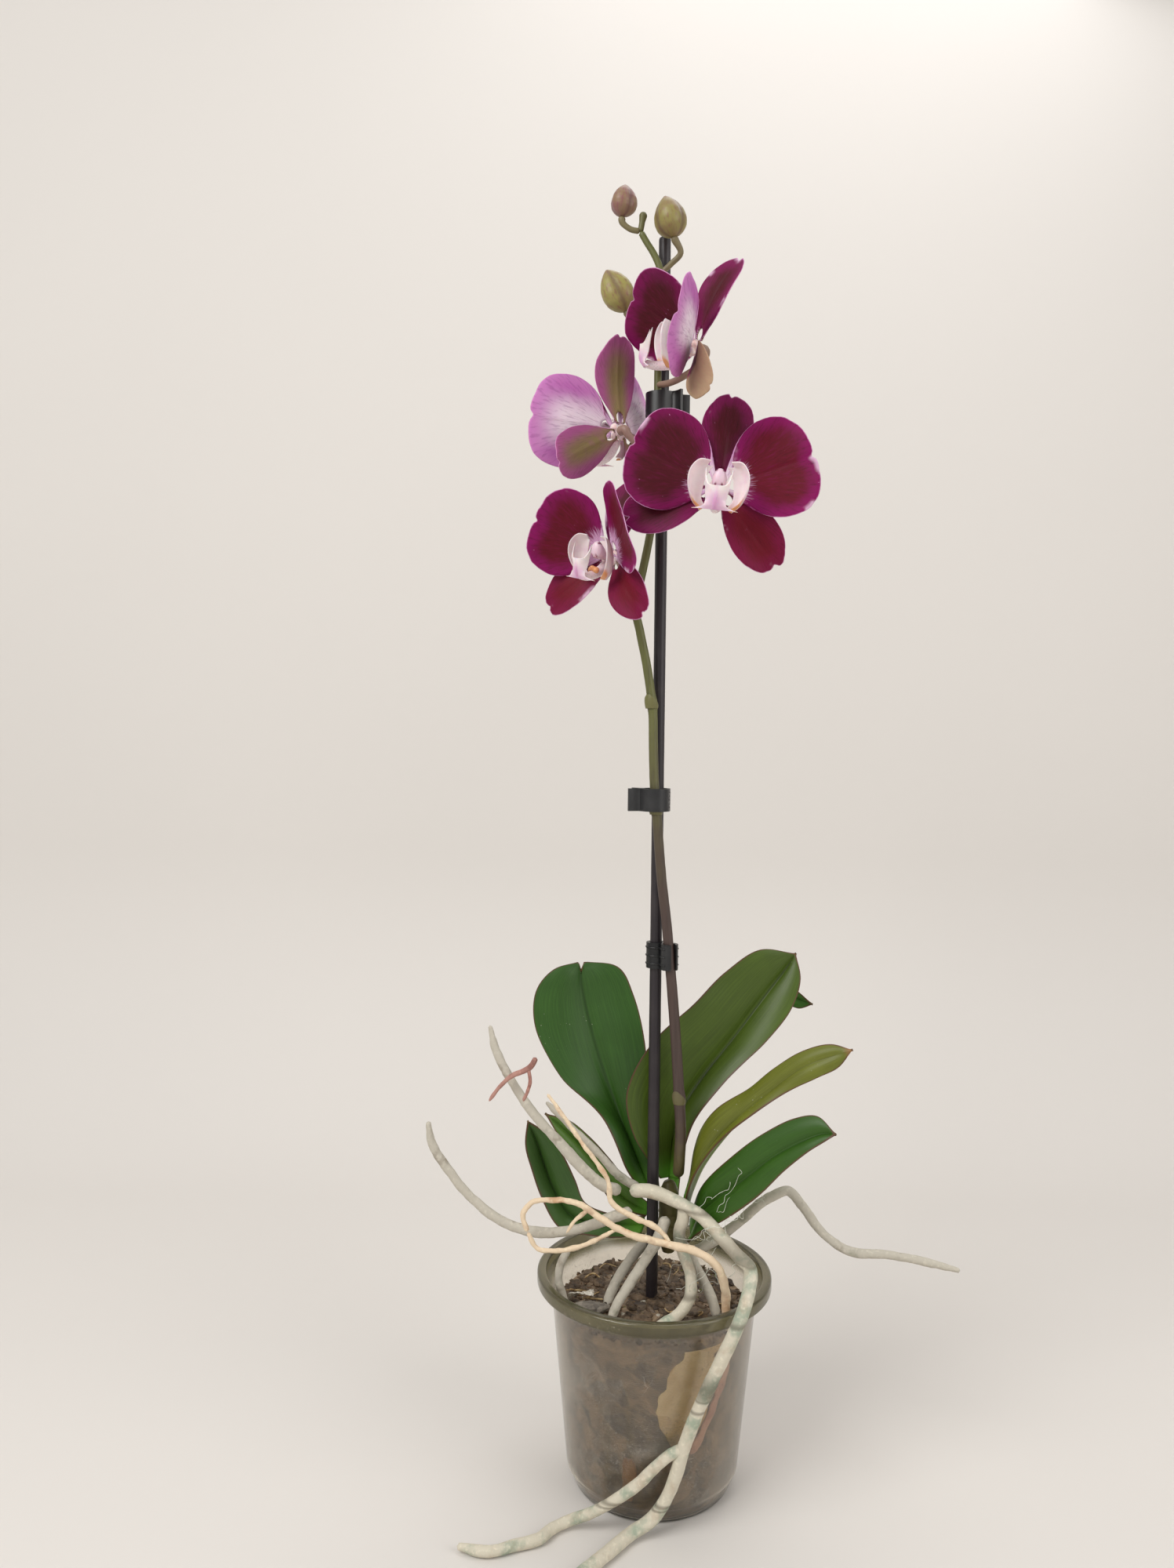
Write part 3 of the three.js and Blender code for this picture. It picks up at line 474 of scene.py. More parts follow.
class NodeTree(NodeSheet):
    """A geometry-node tree that is built node by node, with named inputs."""

    def __init__(self, name: str) -> None:
        """Start an empty tree that takes and gives a geometry.

        Args:
            name: The tree's name.
        """
        self.tree = bpy.data.node_groups.new(name, "GeometryNodeTree")
        self.sockets: dict[str, str] = {}
        self.tree.interface.new_socket("Geometry", in_out="INPUT", socket_type="NodeSocketGeometry")
        self.tree.interface.new_socket("Geometry", in_out="OUTPUT", socket_type="NodeSocketGeometry")
        self.start = self.tree.nodes.new("NodeGroupInput")
        self.end = self.tree.nodes.new("NodeGroupOutput")

    def size(self, name: str, kind: str = "NodeSocketFloat") -> Socket:
        """Add a named input.

        Args:
            name: The input's name.
            kind: Its socket type.

        Returns:
            The socket to read it from.
        """
        made = self.tree.interface.new_socket(name, in_out="INPUT", socket_type=kind)
        self.sockets[name] = made.identifier
        return self.start.outputs[name]

    def named(self, name: str) -> Socket:
        """Read a stored number by name."""
        return self.add("GeometryNodeInputNamedAttribute", {"Name": name},
            data_type="FLOAT").outputs["Attribute"]

    def finish(self, geometry: Socket, smooth: bool = True) -> None:
        """Realize, shade, paint and output a geometry.

        Args:
            geometry: What the tree has made.
            smooth: Whether it is shaded smooth.
        """
        material = self.size("Material", "NodeSocketMaterial")
        real = self.add("GeometryNodeRealizeInstances", {"Geometry": geometry})
        shaded = self.add("GeometryNodeSetShadeSmooth", {"Geometry": real.outputs[0], "Shade Smooth": smooth})
        painted = self.add("GeometryNodeSetMaterial", {"Geometry": shaded.outputs[0], "Material": material})
        self.tree.links.new(painted.outputs[0], self.end.inputs[0])

    def apply(self, piece: Piece, **values: object) -> Piece:
        """Run the tree on a piece and keep the plain mesh it makes.

        Args:
            piece: The object it works on.
            values: Its inputs by name, with underscores for spaces.

        Returns:
            The same object with its new mesh.
        """
        modifier = piece.modifiers.new("grow", "NODES")
        modifier.node_group = self.tree
        for key, value in values.items():
            modifier[self.sockets[key.replace("_", " ")]] = value
        return bake_modifiers(piece)


class TubeTree(NodeTree):
    """Grows a round or flattened tube along a line whose points carry a radius."""

    def __init__(self) -> None:
        """Build the tree."""
        super().__init__("tube_along_line")
        sides = self.size("Sides", "NodeSocketInt")
        uneven, grain, seed = self.size("Uneven"), self.size("Grain"), self.size("Seed")
        curve = self.add("GeometryNodeMeshToCurve", {"Mesh": self.start.outputs["Geometry"]})
        along = self.add("GeometryNodeSplineParameter").outputs["Length"]
        marked = self.add(
            "GeometryNodeStoreNamedAttribute", {"Geometry": curve.outputs[0], "Name": "along", "Value": along}
        )
        ring = self.add("GeometryNodeCurvePrimitiveCircle", {"Resolution": sides, "Radius": 1.0})
        section = self.add(
            "GeometryNodeStoreNamedAttribute",
            {"Geometry": ring.outputs[0], "Name": "section",
            "Value": self.add("GeometryNodeInputPosition").outputs[0]},
            data_type="FLOAT_VECTOR",
        )
        tube = self.add(
            "GeometryNodeCurveToMesh",
            {"Curve": marked.outputs[0], "Profile Curve": section.outputs[0], "Scale": self.named("radius"),
             "Fill Caps": True},
        )
        bumps = self.add(
            "ShaderNodeTexNoise", {"W": seed, "Scale": grain, "Detail": 2.0}, noise_dimensions="4D"
        ).outputs[0]
        middle = self.add("ShaderNodeMath", {0: bumps, 1: 0.5}, operation="SUBTRACT").outputs[0]
        reach = self.add("ShaderNodeMath", {0: middle, 1: uneven}, operation="MULTIPLY").outputs[0]
        normal = self.add("GeometryNodeInputNormal").outputs[0]
        push = self.add("ShaderNodeVectorMath", {0: normal, "Scale": reach}, operation="SCALE").outputs[0]
        moved = self.add("GeometryNodeSetPosition", {"Geometry": tube.outputs[0], "Offset": push})
        self.finish(moved.outputs[0])


class ScatterTree(NodeTree):
    """Strews small irregular pieces over a surface."""

    def __init__(self) -> None:
        """Build the tree."""
        super().__init__("strewn_pieces")
        density, seed = self.size("Density"), self.size("Seed", "NodeSocketInt")
        smallest, largest, tilt = (self.size(name, "NodeSocketVector")
            for name in ("Smallest", "Largest", "Tilt"))
        uneven, grain = self.size("Uneven"), self.size("Grain")
        facets = self.size("Facets", "NodeSocketInt")
        spread = self.add(
            "GeometryNodeDistributePointsOnFaces",
            {"Mesh": self.start.outputs["Geometry"], "Density": density, "Seed": seed},
        )
        lump = self.add("GeometryNodeMeshIcoSphere", {"Radius": 0.5, "Subdivisions": facets})
        least = self.add("ShaderNodeVectorMath", {0: tilt, "Scale": -1.0}, operation="SCALE").outputs[0]
        turn = self.add("FunctionNodeRandomValue", {0: least, 1: tilt, "Seed": seed},
            data_type="FLOAT_VECTOR")
        scale = self.add("FunctionNodeRandomValue", {0: smallest, 1: largest, "Seed": seed},
            data_type="FLOAT_VECTOR")
        rotation = self.add("FunctionNodeEulerToRotation", {"Euler": turn.outputs[0]})
        placed = self.add(
            "GeometryNodeInstanceOnPoints",
            {"Points": spread.outputs["Points"], "Instance": lump.outputs["Mesh"],
             "Rotation": rotation.outputs[0], "Scale": scale.outputs[0]},
        )
        real = self.add("GeometryNodeRealizeInstances", {"Geometry": placed.outputs[0]})
        clouds = self.add("ShaderNodeTexNoise", {"Scale": grain, "Detail": 2.0},
            noise_dimensions="3D").outputs["Color"]
        middle = self.add("ShaderNodeVectorMath", {0: clouds, 1: (0.5, 0.5, 0.5)},
            operation="SUBTRACT").outputs[0]
        push = self.add("ShaderNodeVectorMath", {0: middle, "Scale": uneven}, operation="SCALE").outputs[0]
        moved = self.add("GeometryNodeSetPosition", {"Geometry": real.outputs[0], "Offset": push})
        self.finish(moved.outputs[0], smooth=False)


@dataclass
class Workshop:
    """The node trees that the pieces share."""

    tube: TubeTree = field(default_factory=TubeTree)
    scatter: ScatterTree = field(default_factory=ScatterTree)

    def grow_tube(
        self, name: str, path: Array, radius: Array, material: Material, sides: int = 20,
        uneven: float = 0.0, grain: float = 90.0, seed: float = 1.0,
    ) -> Piece:
        """Grow a tube with rounded ends along a path.

        Args:
            name: The piece's name.
            path: Its centre line, in millimetres.
            radius: Its radius at each point, in millimetres.
            material: What it is painted with.
            sides: How many sides its section has.
            uneven: How far noise moves its surface, in millimetres.
            grain: The noise's scale, per metre.
            seed: The noise's seed.

        Returns:
            The tube.
        """
        gone = np.concatenate([[0], np.cumsum(np.linalg.norm(np.diff(path, axis=0), axis=1))])
        start, end = np.minimum(gone / radius[0], 1), np.minimum((gone[-1] - gone) / radius[-1], 1)
        round_ends = np.sqrt(1 - (1 - np.minimum(start, end)) ** 2)
        sizes = np.maximum(radius * round_ends, 0.02) * MM
        mesh = bpy.data.meshes.new(name)
        mesh.from_pydata((path * MM).tolist(), [(k, k + 1) for k in range(len(path) - 1)], [])
        mesh.attributes.new("radius", "FLOAT", "POINT").data.foreach_set("value", sizes.astype(np.float32))
        return self.tube.apply(
            linked(name, mesh), Sides=sides, Uneven=2 * uneven * MM, Grain=grain, Seed=seed, Material=material
        )


def merge_pieces(name: str, pieces: Sequence[Piece]) -> Piece:
    """Join several meshes into one object.

    Args:
        name: The joined piece's name.
        pieces: What is joined; they are used up.

    Returns:
        The joined object.
    """
    bpy.ops.object.select_all(action="DESELECT")
    for piece in pieces:
        piece.select_set(True)
    bpy.context.view_layer.objects.active = pieces[0]
    bpy.ops.object.join()
    pieces[0].name = pieces[0].data.name = name
    pieces[0].select_set(False)
    return pieces[0]


def dress(
    piece: Piece, nodes: Sequence[str] = (), body: Body = Body.PLANT,
    material: Material | None = None,
) -> Piece:
    """Give a finished piece its material, body and the nodes it stands for.

    Args:
        piece: The finished piece.
        nodes: The frame nodes it stands for.
        body: The body it moves with.
        material: What it is painted with, unless its mesh already carries that.

    Returns:
        The same object.
    """
    if material:
        piece.data.materials.clear()
        piece.data.materials.append(material)
    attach(piece, body.value)
    if nodes:
        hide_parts(*nodes)
    return piece


# ---- Finishes ----


class Paint(NodeSheet):
    """A material that is built node by node around one shader."""

    def __init__(self, name: str) -> None:
        """Start an empty material.

        Args:
            name: The material's name.
        """
        self.material = bpy.data.materials.new(name)
        self.material.use_nodes = True
        self.tree = self.material.node_tree
        self.tree.nodes.clear()
        self.shader = self.tree.nodes.new("ShaderNodeBsdfPrincipled")
        output = self.tree.nodes.new("ShaderNodeOutputMaterial")
        self.tree.links.new(self.shader.outputs[0], output.inputs[0])
        self.place = self.add("ShaderNodeTexCoord").outputs["Object"]

    def mark(self, name: str) -> Socket:
        """Read a number stored on the mesh."""
        return self.add("ShaderNodeAttribute", attribute_name=name).outputs["Fac"]

    def axis(self, index: int) -> Socket:
        """Read one object coordinate, 0 for x, 1 for y and 2 for z."""
        return self.add("ShaderNodeSeparateXYZ", {0: self.place}).outputs[index]

    def at(self, x: object, y: object, z: object = 0.0) -> Socket:
        """Combine three numbers into a place on a pattern."""
        return self.add("ShaderNodeCombineXYZ", {0: x, 1: y, 2: z}).outputs[0]

    def noise(self, scale: float, detail: float = 3.0, where: object = None, warp: float = 0.0) -> Socket:
        """Cloudy noise from 0 to 1, with its scale per metre.

        Args:
            scale: How many clouds per metre.
            detail: How many finer layers.
            where: The place it reads.
            warp: How far it is bent.

        Returns:
            A number from 0 to 1.
        """
        inputs = {"Vector": where or self.place, "Scale": scale, "Detail": detail, "Distortion": warp}
        return self.add("ShaderNodeTexNoise", inputs).outputs[0]

    def cells(self, scale: float, output: str = "Distance", feature: str = "F1",
            where: object = None) -> Socket:
        """A pattern of irregular cells.

        Args:
            scale: How many cells per metre.
            output: What is read.
            feature: Which distance is taken.
            where: The place it reads.

        Returns:
            The reading.
        """
        return self.add("ShaderNodeTexVoronoi", {"Vector": where or self.place, "Scale": scale},
            feature=feature).outputs[output]

    def band(self, value: object, low: float, high: float) -> Socket:
        """Rise smoothly from 0 at low to 1 at high; high may be the smaller.

        Args:
            value: The number to grade.
            low: Where it is 0.
            high: Where it is 1; it may be the smaller.

        Returns:
            A number from 0 to 1.
        """
        inputs = {"Value": value, "From Min": low, "From Max": high}
        return self.add("ShaderNodeMapRange", inputs, interpolation_type="SMOOTHSTEP").outputs[0]

    def math(self, operation: str, first: object, second: object = 0.0) -> Socket:
        """Work out one number from two."""
        return self.add("ShaderNodeMath", {0: first, 1: second}, operation=operation).outputs[0]

    def times(self, first: object, second: object) -> Socket:
        """Multiply two numbers."""
        return self.math("MULTIPLY", first, second)

    def plus(self, first: object, second: object) -> Socket:
        """Add two numbers."""
        return self.math("ADD", first, second)

    def swayed(self, value: object, cloud: Socket, reach: float) -> Socket:
        """Move a number up and down by a cloudy one."""
        return self.plus(value, self.times(self.math("SUBTRACT", cloud, 0.5), reach))

    def mix(self, share: object, first: object, second: object) -> Socket:
        """Mix two colours; a plain colour is given as a tuple of three.

        Args:
            share: How much of the second.
            first: A colour, or three channels.
            second: A colour, or three channels.

        Returns:
            The colour.
        """
        colours = [(*c, 1.0) if isinstance(c, tuple) else c for c in (first, second)]
        return self.add("ShaderNodeMix", {0: share, 6: colours[0], 7: colours[1]},
            data_type="RGBA").outputs[2]

    def over(self, colour: object, layer: object, mask: object, strength: object) -> Socket:
        """Lay a colour over another where a mask shows it.

        Args:
            colour: What is underneath.
            layer: What lies on top.
            mask: Where it lies.
            strength: How much of it shows there.

        Returns:
            The colour.
        """
        return self.mix(self.times(mask, strength), colour, layer)

    def bump(self, height: object, distance: float, strength: float = 1.0) -> None:
        """Raise the surface by a pattern, on top of what is raised already.

        Args:
            height: The pattern.
            distance: How far it rises, in millimetres.
            strength: The share of it that shows.
        """
        before = self.shader.inputs["Normal"].links
        inputs = {"Height": height, "Distance": distance * MM, "Strength": strength}
        if before:
            inputs["Normal"] = before[0].from_socket
        self.tree.links.new(self.add("ShaderNodeBump", inputs).outputs[0], self.shader.inputs["Normal"])

    def finish(self, colour: object, **sockets: object) -> Material:
        """Set the shader's colour and other sockets.

        Args:
            colour: A colour socket.
            sockets: Values or sockets by name, with underscores for spaces.

        Returns:
            The material.
        """
        self.tree.links.new(colour, self.shader.inputs["Base Color"])
        for key, value in sockets.items():
            socket = self.shader.inputs[key.replace("_", " ")]
            if isinstance(value, Socket):
                self.tree.links.new(value, socket)
            else:
                socket.default_value = value
        return self.material


@dataclass(frozen=True)
class PotPlastic:
    """Smoky see-through plastic, misted inside, with dust and pale scratches."""

    tint: Colour = rgb(240, 234, 222)
    dust: Colour = rgb(150, 136, 118)
    rim: Colour = rgb(128, 122, 92)

    def make(self) -> Material:
        """Build the material.

        Returns:
            The material.
        """
        paint = Paint("smoky_pot_plastic")
        cloud = paint.noise(38, 5, warp=0.6)
        streak = paint.noise(60, 4, paint.at(paint.axis(0), paint.axis(1),
            paint.times(paint.axis(2), 0.22)))
        scratch = paint.band(paint.cells(95, feature="DISTANCE_TO_EDGE"), 0.012, 0.0)
        few = paint.times(scratch, paint.band(paint.noise(55, 2), 0.6, 0.7))
        film = paint.plus(paint.times(paint.band(cloud, 0.5, 0.8), 0.35), paint.times(few, 0.5))
        base = paint.mix(film, self.tint, self.dust)
        rim = paint.band(paint.axis(2), 0.095, 0.1005)
        base = paint.mix(rim, base, self.rim)
        speck = paint.times(paint.band(paint.noise(700, 3), 0.58, 0.7),
            paint.band(paint.noise(36, 3), 0.35, 0.6))
        base = paint.over(base, rgb(190, 178, 160), speck, 0.5)
        film = paint.plus(film, paint.plus(paint.times(rim, 0.35), paint.times(speck, 0.35)))
        clear = paint.math("SUBTRACT", 0.96, paint.times(film, 0.55))
        paint.bump(streak, 0.12, 0.4)
        rough = paint.plus(0.05, paint.times(cloud, 0.22))
        return paint.finish(base, Roughness=rough, IOR=1.46, Transmission_Weight=clear)


@dataclass(frozen=True)
class Bark:
    """Bark in irregular pieces, from wet and dark to dry and grey."""

    name: str
    dark: Colour
    light: Colour
    cell: float = 160.0
    roughness: float = 0.75
    wet: float = 0.0
    cracks: float = 0.5

    def make(self) -> Material:
        """Build the material.

        Returns:
            The material.
        """
        paint = Paint(self.name)
        flakes = paint.noise(self.cell, 6, warp=0.8)
        pieces = paint.cells(self.cell * 0.9, "Color")
        value = paint.add("ShaderNodeSeparateColor", {0: pieces}).outputs[0]
        fibres = paint.noise(420, 4, paint.at(paint.axis(0), paint.times(paint.axis(1), 3.0),
            paint.times(paint.axis(2), 4.0)))
        share = paint.plus(paint.times(value, 0.6), paint.times(paint.band(flakes, 0.35, 0.7), 0.5))
        colour = paint.mix(share, self.dark, self.light)
        colour = paint.over(colour, shade(self.dark, 0.45), paint.band(fibres, 0.5, 0.75), self.cracks)
        paint.bump(fibres, 0.5, 0.6)
        paint.bump(flakes, 1.0, 0.7)
        return paint.finish(colour, Roughness=self.roughness, Coat_Weight=self.wet, Coat_Roughness=0.25)


@dataclass(frozen=True)
class PlainPlastic:
    """Moulded dark plastic with a fine mould texture and light dust."""

    name: str
    colour: Colour
    dust: Colour
    roughness: float = 0.38
    grain: float = 900.0

    def make(self) -> Material:
        """Build the material.

        Returns:
            The material.
        """
        paint = Paint(self.name)
        grain, cloud = paint.noise(self.grain, 3), paint.noise(45, 5)
        colour = paint.mix(paint.times(paint.band(cloud, 0.45, 0.8), 0.3), self.colour, self.dust)
        paint.bump(grain, 0.05, 0.5)
        rough = paint.plus(self.roughness - 0.08, paint.times(cloud, 0.22))
        return paint.finish(colour, Roughness=rough, Specular_IOR_Level=0.5)


@dataclass(frozen=True)
class SpringSteel:
    """Plain drawn wire."""

    colour: Colour = rgb(150, 150, 152)

    def make(self) -> Material:
        """Build the material.

        Returns:
            The material.
        """
        paint = Paint("spring_wire")
        drawn = paint.noise(1500, 2)
        colour = paint.mix(paint.band(drawn, 0.3, 0.8), self.colour, shade(self.colour, 0.6))
        paint.bump(drawn, 0.02, 0.4)
        return paint.finish(colour, Roughness=0.34, Metallic=1.0)


@dataclass(frozen=True)
class LeafSkin:
    """A waxy leaf: paler sheath, painted shade along the midrib groove, purple-brown margin and fine
    lengthwise grain.
    """

    name: str
    top: Colour
    under: Colour = rgb(96, 112, 52)
    sheath: Colour = rgb(92, 150, 44)
    margin: Colour = rgb(92, 52, 44)
    tip: Colour = rgb(120, 96, 60)
    tip_from: float = 0.985

    def make(self) -> Material:
        """Build the material.

        Returns:
            The material.
        """
        paint = Paint(self.name)
        along, across, edge = paint.mark("along"), paint.mark("across"), paint.mark("edge")
        grain = paint.noise(9, 4, paint.at(paint.times(across, 5.0), paint.times(along, 0.7),
            paint.mark("face")))
        cloud = paint.noise(48, 4)
        colour = paint.mix(paint.band(grain, 0.3, 0.75), shade(self.top, 0.8), shade(self.top, 1.14))
        colour = paint.over(colour, shade(self.top, 1.4), paint.band(cloud, 0.45, 0.75), 0.3)
        # Painted shade: the green darkens along the midrib groove.
        rib = paint.band(paint.math("ABSOLUTE", across), 0.07, 0.0)
        colour = paint.over(colour, shade(self.top, 0.4), rib, 0.55)
        colour = paint.mix(paint.band(along, 0.2, 0.03), colour, self.sheath)
        rim = paint.band(paint.plus(edge, paint.times(cloud, 0.7)), 1.25, 0.55)
        colour = paint.over(colour, self.margin, rim, 0.85)
        colour = paint.mix(paint.band(along, self.tip_from, 1.0), colour, self.tip)
        speck = paint.band(paint.cells(330), 0.12, 0.05)
        dust = paint.times(speck, paint.band(paint.noise(30, 2), 0.55, 0.65))
        colour = paint.over(colour, rgb(190, 190, 170), dust, 0.5)
        under = paint.mix(paint.band(grain, 0.3, 0.8), self.under, shade(self.under, 1.35))
        under = paint.over(under, self.margin, rim, 0.8)
        colour = paint.mix(paint.mark("face"), under, colour)
        paint.bump(grain, 0.2, 0.3)
        paint.bump(paint.noise(700, 2), 0.06, 0.4)
        rough = paint.plus(0.34, paint.times(cloud, 0.2))
        return paint.finish(colour, Roughness=rough, Specular_IOR_Level=0.35, Coat_Weight=0.06,
            Coat_Roughness=0.3)


@dataclass(frozen=True)
class StemSkin:
    """Spike skin: green high up, brown-purple towards the base, with fine lengthwise streaks."""

    high: Colour = rgb(98, 100, 52)
    low: Colour = rgb(72, 56, 50)
    stalk: Colour = rgb(150, 128, 92)
    turn_low: float = 0.285
    turn_high: float = 0.42

    def make(self) -> Material:
        """Build the material.

        Returns:
            The material.
        """
        paint = Paint("spike_skin")
        cloud = paint.noise(60, 4)
        streak = paint.noise(500, 3, paint.at(paint.axis(0), paint.axis(1), paint.times(paint.axis(2), 0.08)))
        height = paint.swayed(paint.axis(2), cloud, 0.08)
        colour = paint.mix(paint.band(height, self.turn_low, self.turn_high), self.low, self.high)
        colour = paint.over(colour, rgb(98, 92, 52), paint.band(height, 0.185, 0.155), 0.7)
        colour = paint.over(colour, shade(self.low, 0.5), paint.band(streak, 0.45, 0.75), 0.45)
        stalk = paint.mix(cloud, self.stalk, rgb(166, 120, 130))
        colour = paint.over(colour, stalk, paint.mark("stalk"), 0.75)
        colour = paint.over(colour, rgb(112, 108, 66), paint.mark("bract"), 0.7)
        paint.bump(streak, 0.12, 0.5)
        return paint.finish(colour, Roughness=0.5, Coat_Weight=0.05, Coat_Roughness=0.4)


@dataclass(frozen=True)
class RootSkin:
    """The spongy coat of an aerial root, silver when dry and green when damp."""

    name: str
    dry: Colour
    damp: Colour
    dirt: Colour = rgb(112, 96, 76)
    dampness: float = 0.25
    dirtiness: float = 0.5
    joints: bool = False

    def make(self) -> Material:
        """Build the material.

        Returns:
            The material.
        """
        paint = Paint(self.name)
        cloud, fine, pits = paint.noise(75, 5), paint.noise(520, 4), paint.cells(900)
        low = 0.72 - 0.5 * self.dampness
        colour = paint.mix(paint.band(cloud, low, low + 0.16), self.dry, self.damp)
        colour = paint.over(colour, self.dirt, paint.band(paint.noise(120, 4), 0.55, 0.72), self.dirtiness)
        colour = paint.over(colour, shade(self.dry, 1.5), paint.band(fine, 0.5, 0.75), 0.35)
        if self.joints:
            ring = paint.band(paint.cells(26, where=paint.at(0.0, 0.0, paint.axis(2)),
                feature="DISTANCE_TO_EDGE"), 0.02, 0.0)
            colour = paint.over(colour, rgb(86, 76, 60), ring, 0.6)
        paint.bump(pits, 0.12, 0.5)
        paint.bump(fine, 0.3, 0.6)
        paint.bump(cloud, 0.7, 0.5)
        return paint.finish(colour, Roughness=0.82)


@dataclass(frozen=True)
class TepalSkin:
    """The two sides of a petal or sepal: a dark velvety front and a paler veined back."""

    name: str
    heart: Colour = rgb(74, 4, 22)
    rim: Colour = rgb(118, 2, 76)
    blush: Colour = rgb(232, 190, 226)
    margin: Colour = rgb(220, 160, 205)
    back: Colour = rgb(178, 92, 168)
    back_heart: Colour = rgb(232, 214, 226)
    back_rim: Colour = rgb(196, 120, 184)
    rim_reach: float = 9.0
    blush_reach: float = 7.0
    flecks: float = 0.6
    far: Colour | None = None
    dark_to: float = 13.0

    def make(self) -> Material:
        """Build the material.

        Returns:
            The material.
        """
        paint = Paint(self.name)
        edge, base, ray, face = (paint.mark(key) for key in ("edge", "base", "ray", "face"))
        across, along = paint.mark("across"), paint.mark("along")
        vein = paint.noise(7, 5, paint.at(paint.times(ray, 7.0), paint.times(base, 0.018), along), warp=0.2)
        cloud, fine = paint.noise(110, 5), paint.noise(600, 3)
        reach = paint.swayed(edge, cloud, 8.0)
        front = paint.mix(paint.band(reach, self.rim_reach, 0.5), self.heart, self.rim)
        front = paint.over(front, self.rim, paint.band(vein, 0.5, 0.72), 0.22)
        front = paint.over(front, shade(self.heart, 0.5), paint.band(vein, 0.5, 0.3), 0.4)
        throat = paint.swayed(base, vein, 16.0)
        blush = paint.band(throat, self.blush_reach, self.blush_reach * 0.45)
        front = paint.over(front, self.blush, blush, 0.85)
        flecks = paint.times(paint.band(paint.cells(150,
            where=paint.at(paint.times(ray, 0.2), paint.times(base, 0.0011), 0.3)), 0.1, 0.04), self.flecks)
        front = paint.over(front, rgb(214, 150, 196), flecks, paint.band(cloud, 0.56, 0.64))
        thin = paint.band(paint.plus(edge, paint.times(fine, 0.5)), 0.75, 0.3)
        front = paint.over(front, self.margin, thin, 0.75)
        frost = paint.times(paint.band(edge, 2.6, 0.4), paint.band(paint.noise(70, 3), 0.56, 0.66))
        front = paint.over(front, rgb(226, 190, 218), frost, 0.8)
        if self.far:
            tan = paint.mix(vein, self.far, self.margin)
            front = paint.mix(paint.band(base, self.dark_to, self.dark_to + 5), front, tan)
        rear = paint.mix(paint.band(reach, 10.0, 1.0), self.back, self.back_rim)
        middle = paint.band(paint.math("ABSOLUTE", paint.swayed(across, cloud, 0.3)), 0.75, 0.1)
        rear = paint.over(rear, self.back_heart, middle, paint.band(along, 1.0, 0.55))
        rear = paint.over(rear, shade(self.back, 0.55), paint.band(vein, 0.48, 0.7), 0.4)
        rear = paint.over(rear, self.back_rim, paint.band(cloud, 0.55, 0.75), 0.3)
        rear = paint.over(rear, self.margin, thin, 0.6)
        paint.bump(vein, 0.2, 0.3)
        paint.bump(fine, 0.06, 0.4)
        return paint.finish(
            paint.mix(face, rear, front), Roughness=0.55, Specular_IOR_Level=0.22,
            Subsurface_Weight=0.05, Subsurface_Scale=0.001,
        )


@dataclass(frozen=True)
class LipSkin:
    """White and pink lip tissue that turns yellow and orange along its lower edges."""

    name: str = "lip_skin"
    pale: Colour = rgb(244, 234, 232)
    pink: Colour = rgb(214, 158, 200)
    warm: Colour = rgb(226, 150, 60)
    dark: Colour = rgb(140, 40, 60)

    def make(self) -> Material:
        """Build the material.

        Returns:
            The material.
        """
        paint = Paint(self.name)
        cloud, fine = paint.noise(220, 4), paint.noise(900, 2)
        colour = paint.mix(paint.times(paint.band(cloud, 0.4, 0.8), 0.3), self.pale, self.pink)
        colour = paint.over(colour, self.pink, paint.mark("pink"), 0.8)
        warm = paint.swayed(paint.mark("warm"), cloud, 0.5)
        colour = paint.over(colour, self.warm, paint.band(warm, 0.45, 1.0), 0.85)
        line = paint.times(paint.band(paint.math("ABSOLUTE", paint.mark("stripe")), 0.5, 0.2),
            paint.band(cloud, 0.35, 0.5))
        colour = paint.over(colour, rgb(120, 20, 70), line, paint.mark("lined"))
        spot = paint.times(paint.band(paint.cells(800), 0.35, 0.2), paint.mark("spots"))
        colour = paint.mix(spot, colour, self.dark)
        paint.bump(cloud, 0.2, 0.4)
        paint.bump(fine, 0.05, 0.4)
        return paint.finish(colour, Roughness=0.38, Coat_Weight=0.08, Coat_Roughness=0.3,
            Subsurface_Weight=0.15, Subsurface_Scale=0.002)


@dataclass(frozen=True)
class BudSkin:
    """A closed bud: olive green with pink-brown veins and blush."""

    name: str
    green: Colour
    blush: Colour
    share: float

    def make(self) -> Material:
        """Build the material.

        Returns:
            The material.
        """
        paint = Paint(self.name)
        turn, along = paint.mark("turn"), paint.mark("along")
        vein = paint.noise(6, 4, paint.at(paint.times(turn, 5.0), along, 0.0))
        cloud = paint.noise(130, 4)
        colour = paint.mix(paint.times(paint.band(vein, 0.45, 0.7), self.share), self.green, self.blush)
        colour = paint.over(colour, self.blush, paint.band(cloud, 0.45, 0.7), self.share * 0.8)
        colour = paint.over(colour, shade(self.blush, 0.45), paint.mark("seam"), 0.6)
        colour = paint.over(colour, self.blush, paint.band(along, 0.7, 1.0), 0.3)
        paint.bump(vein, 0.3, 0.4)
        return paint.finish(colour, Roughness=0.45, Sheen_Weight=0.1, Sheen_Roughness=0.4)


@dataclass(frozen=True)
class Speckled:
    """A simple mottled finish for fleece, perlite, moss and fibres."""

    name: str
    first: Colour
    second: Colour
    scale: float = 400.0
    roughness: float = 0.9
    height: float = 0.3

    def make(self) -> Material:
        """Build the material.

        Returns:
            The material.
        """
        paint = Paint(self.name)
        mottle = paint.noise(self.scale, 4)
        colour = paint.mix(paint.band(mottle, 0.35, 0.68), self.first, self.second)
        paint.bump(mottle, self.height, 0.7)
        return paint.finish(colour, Roughness=self.roughness)


MADE: dict[str, Material] = {}


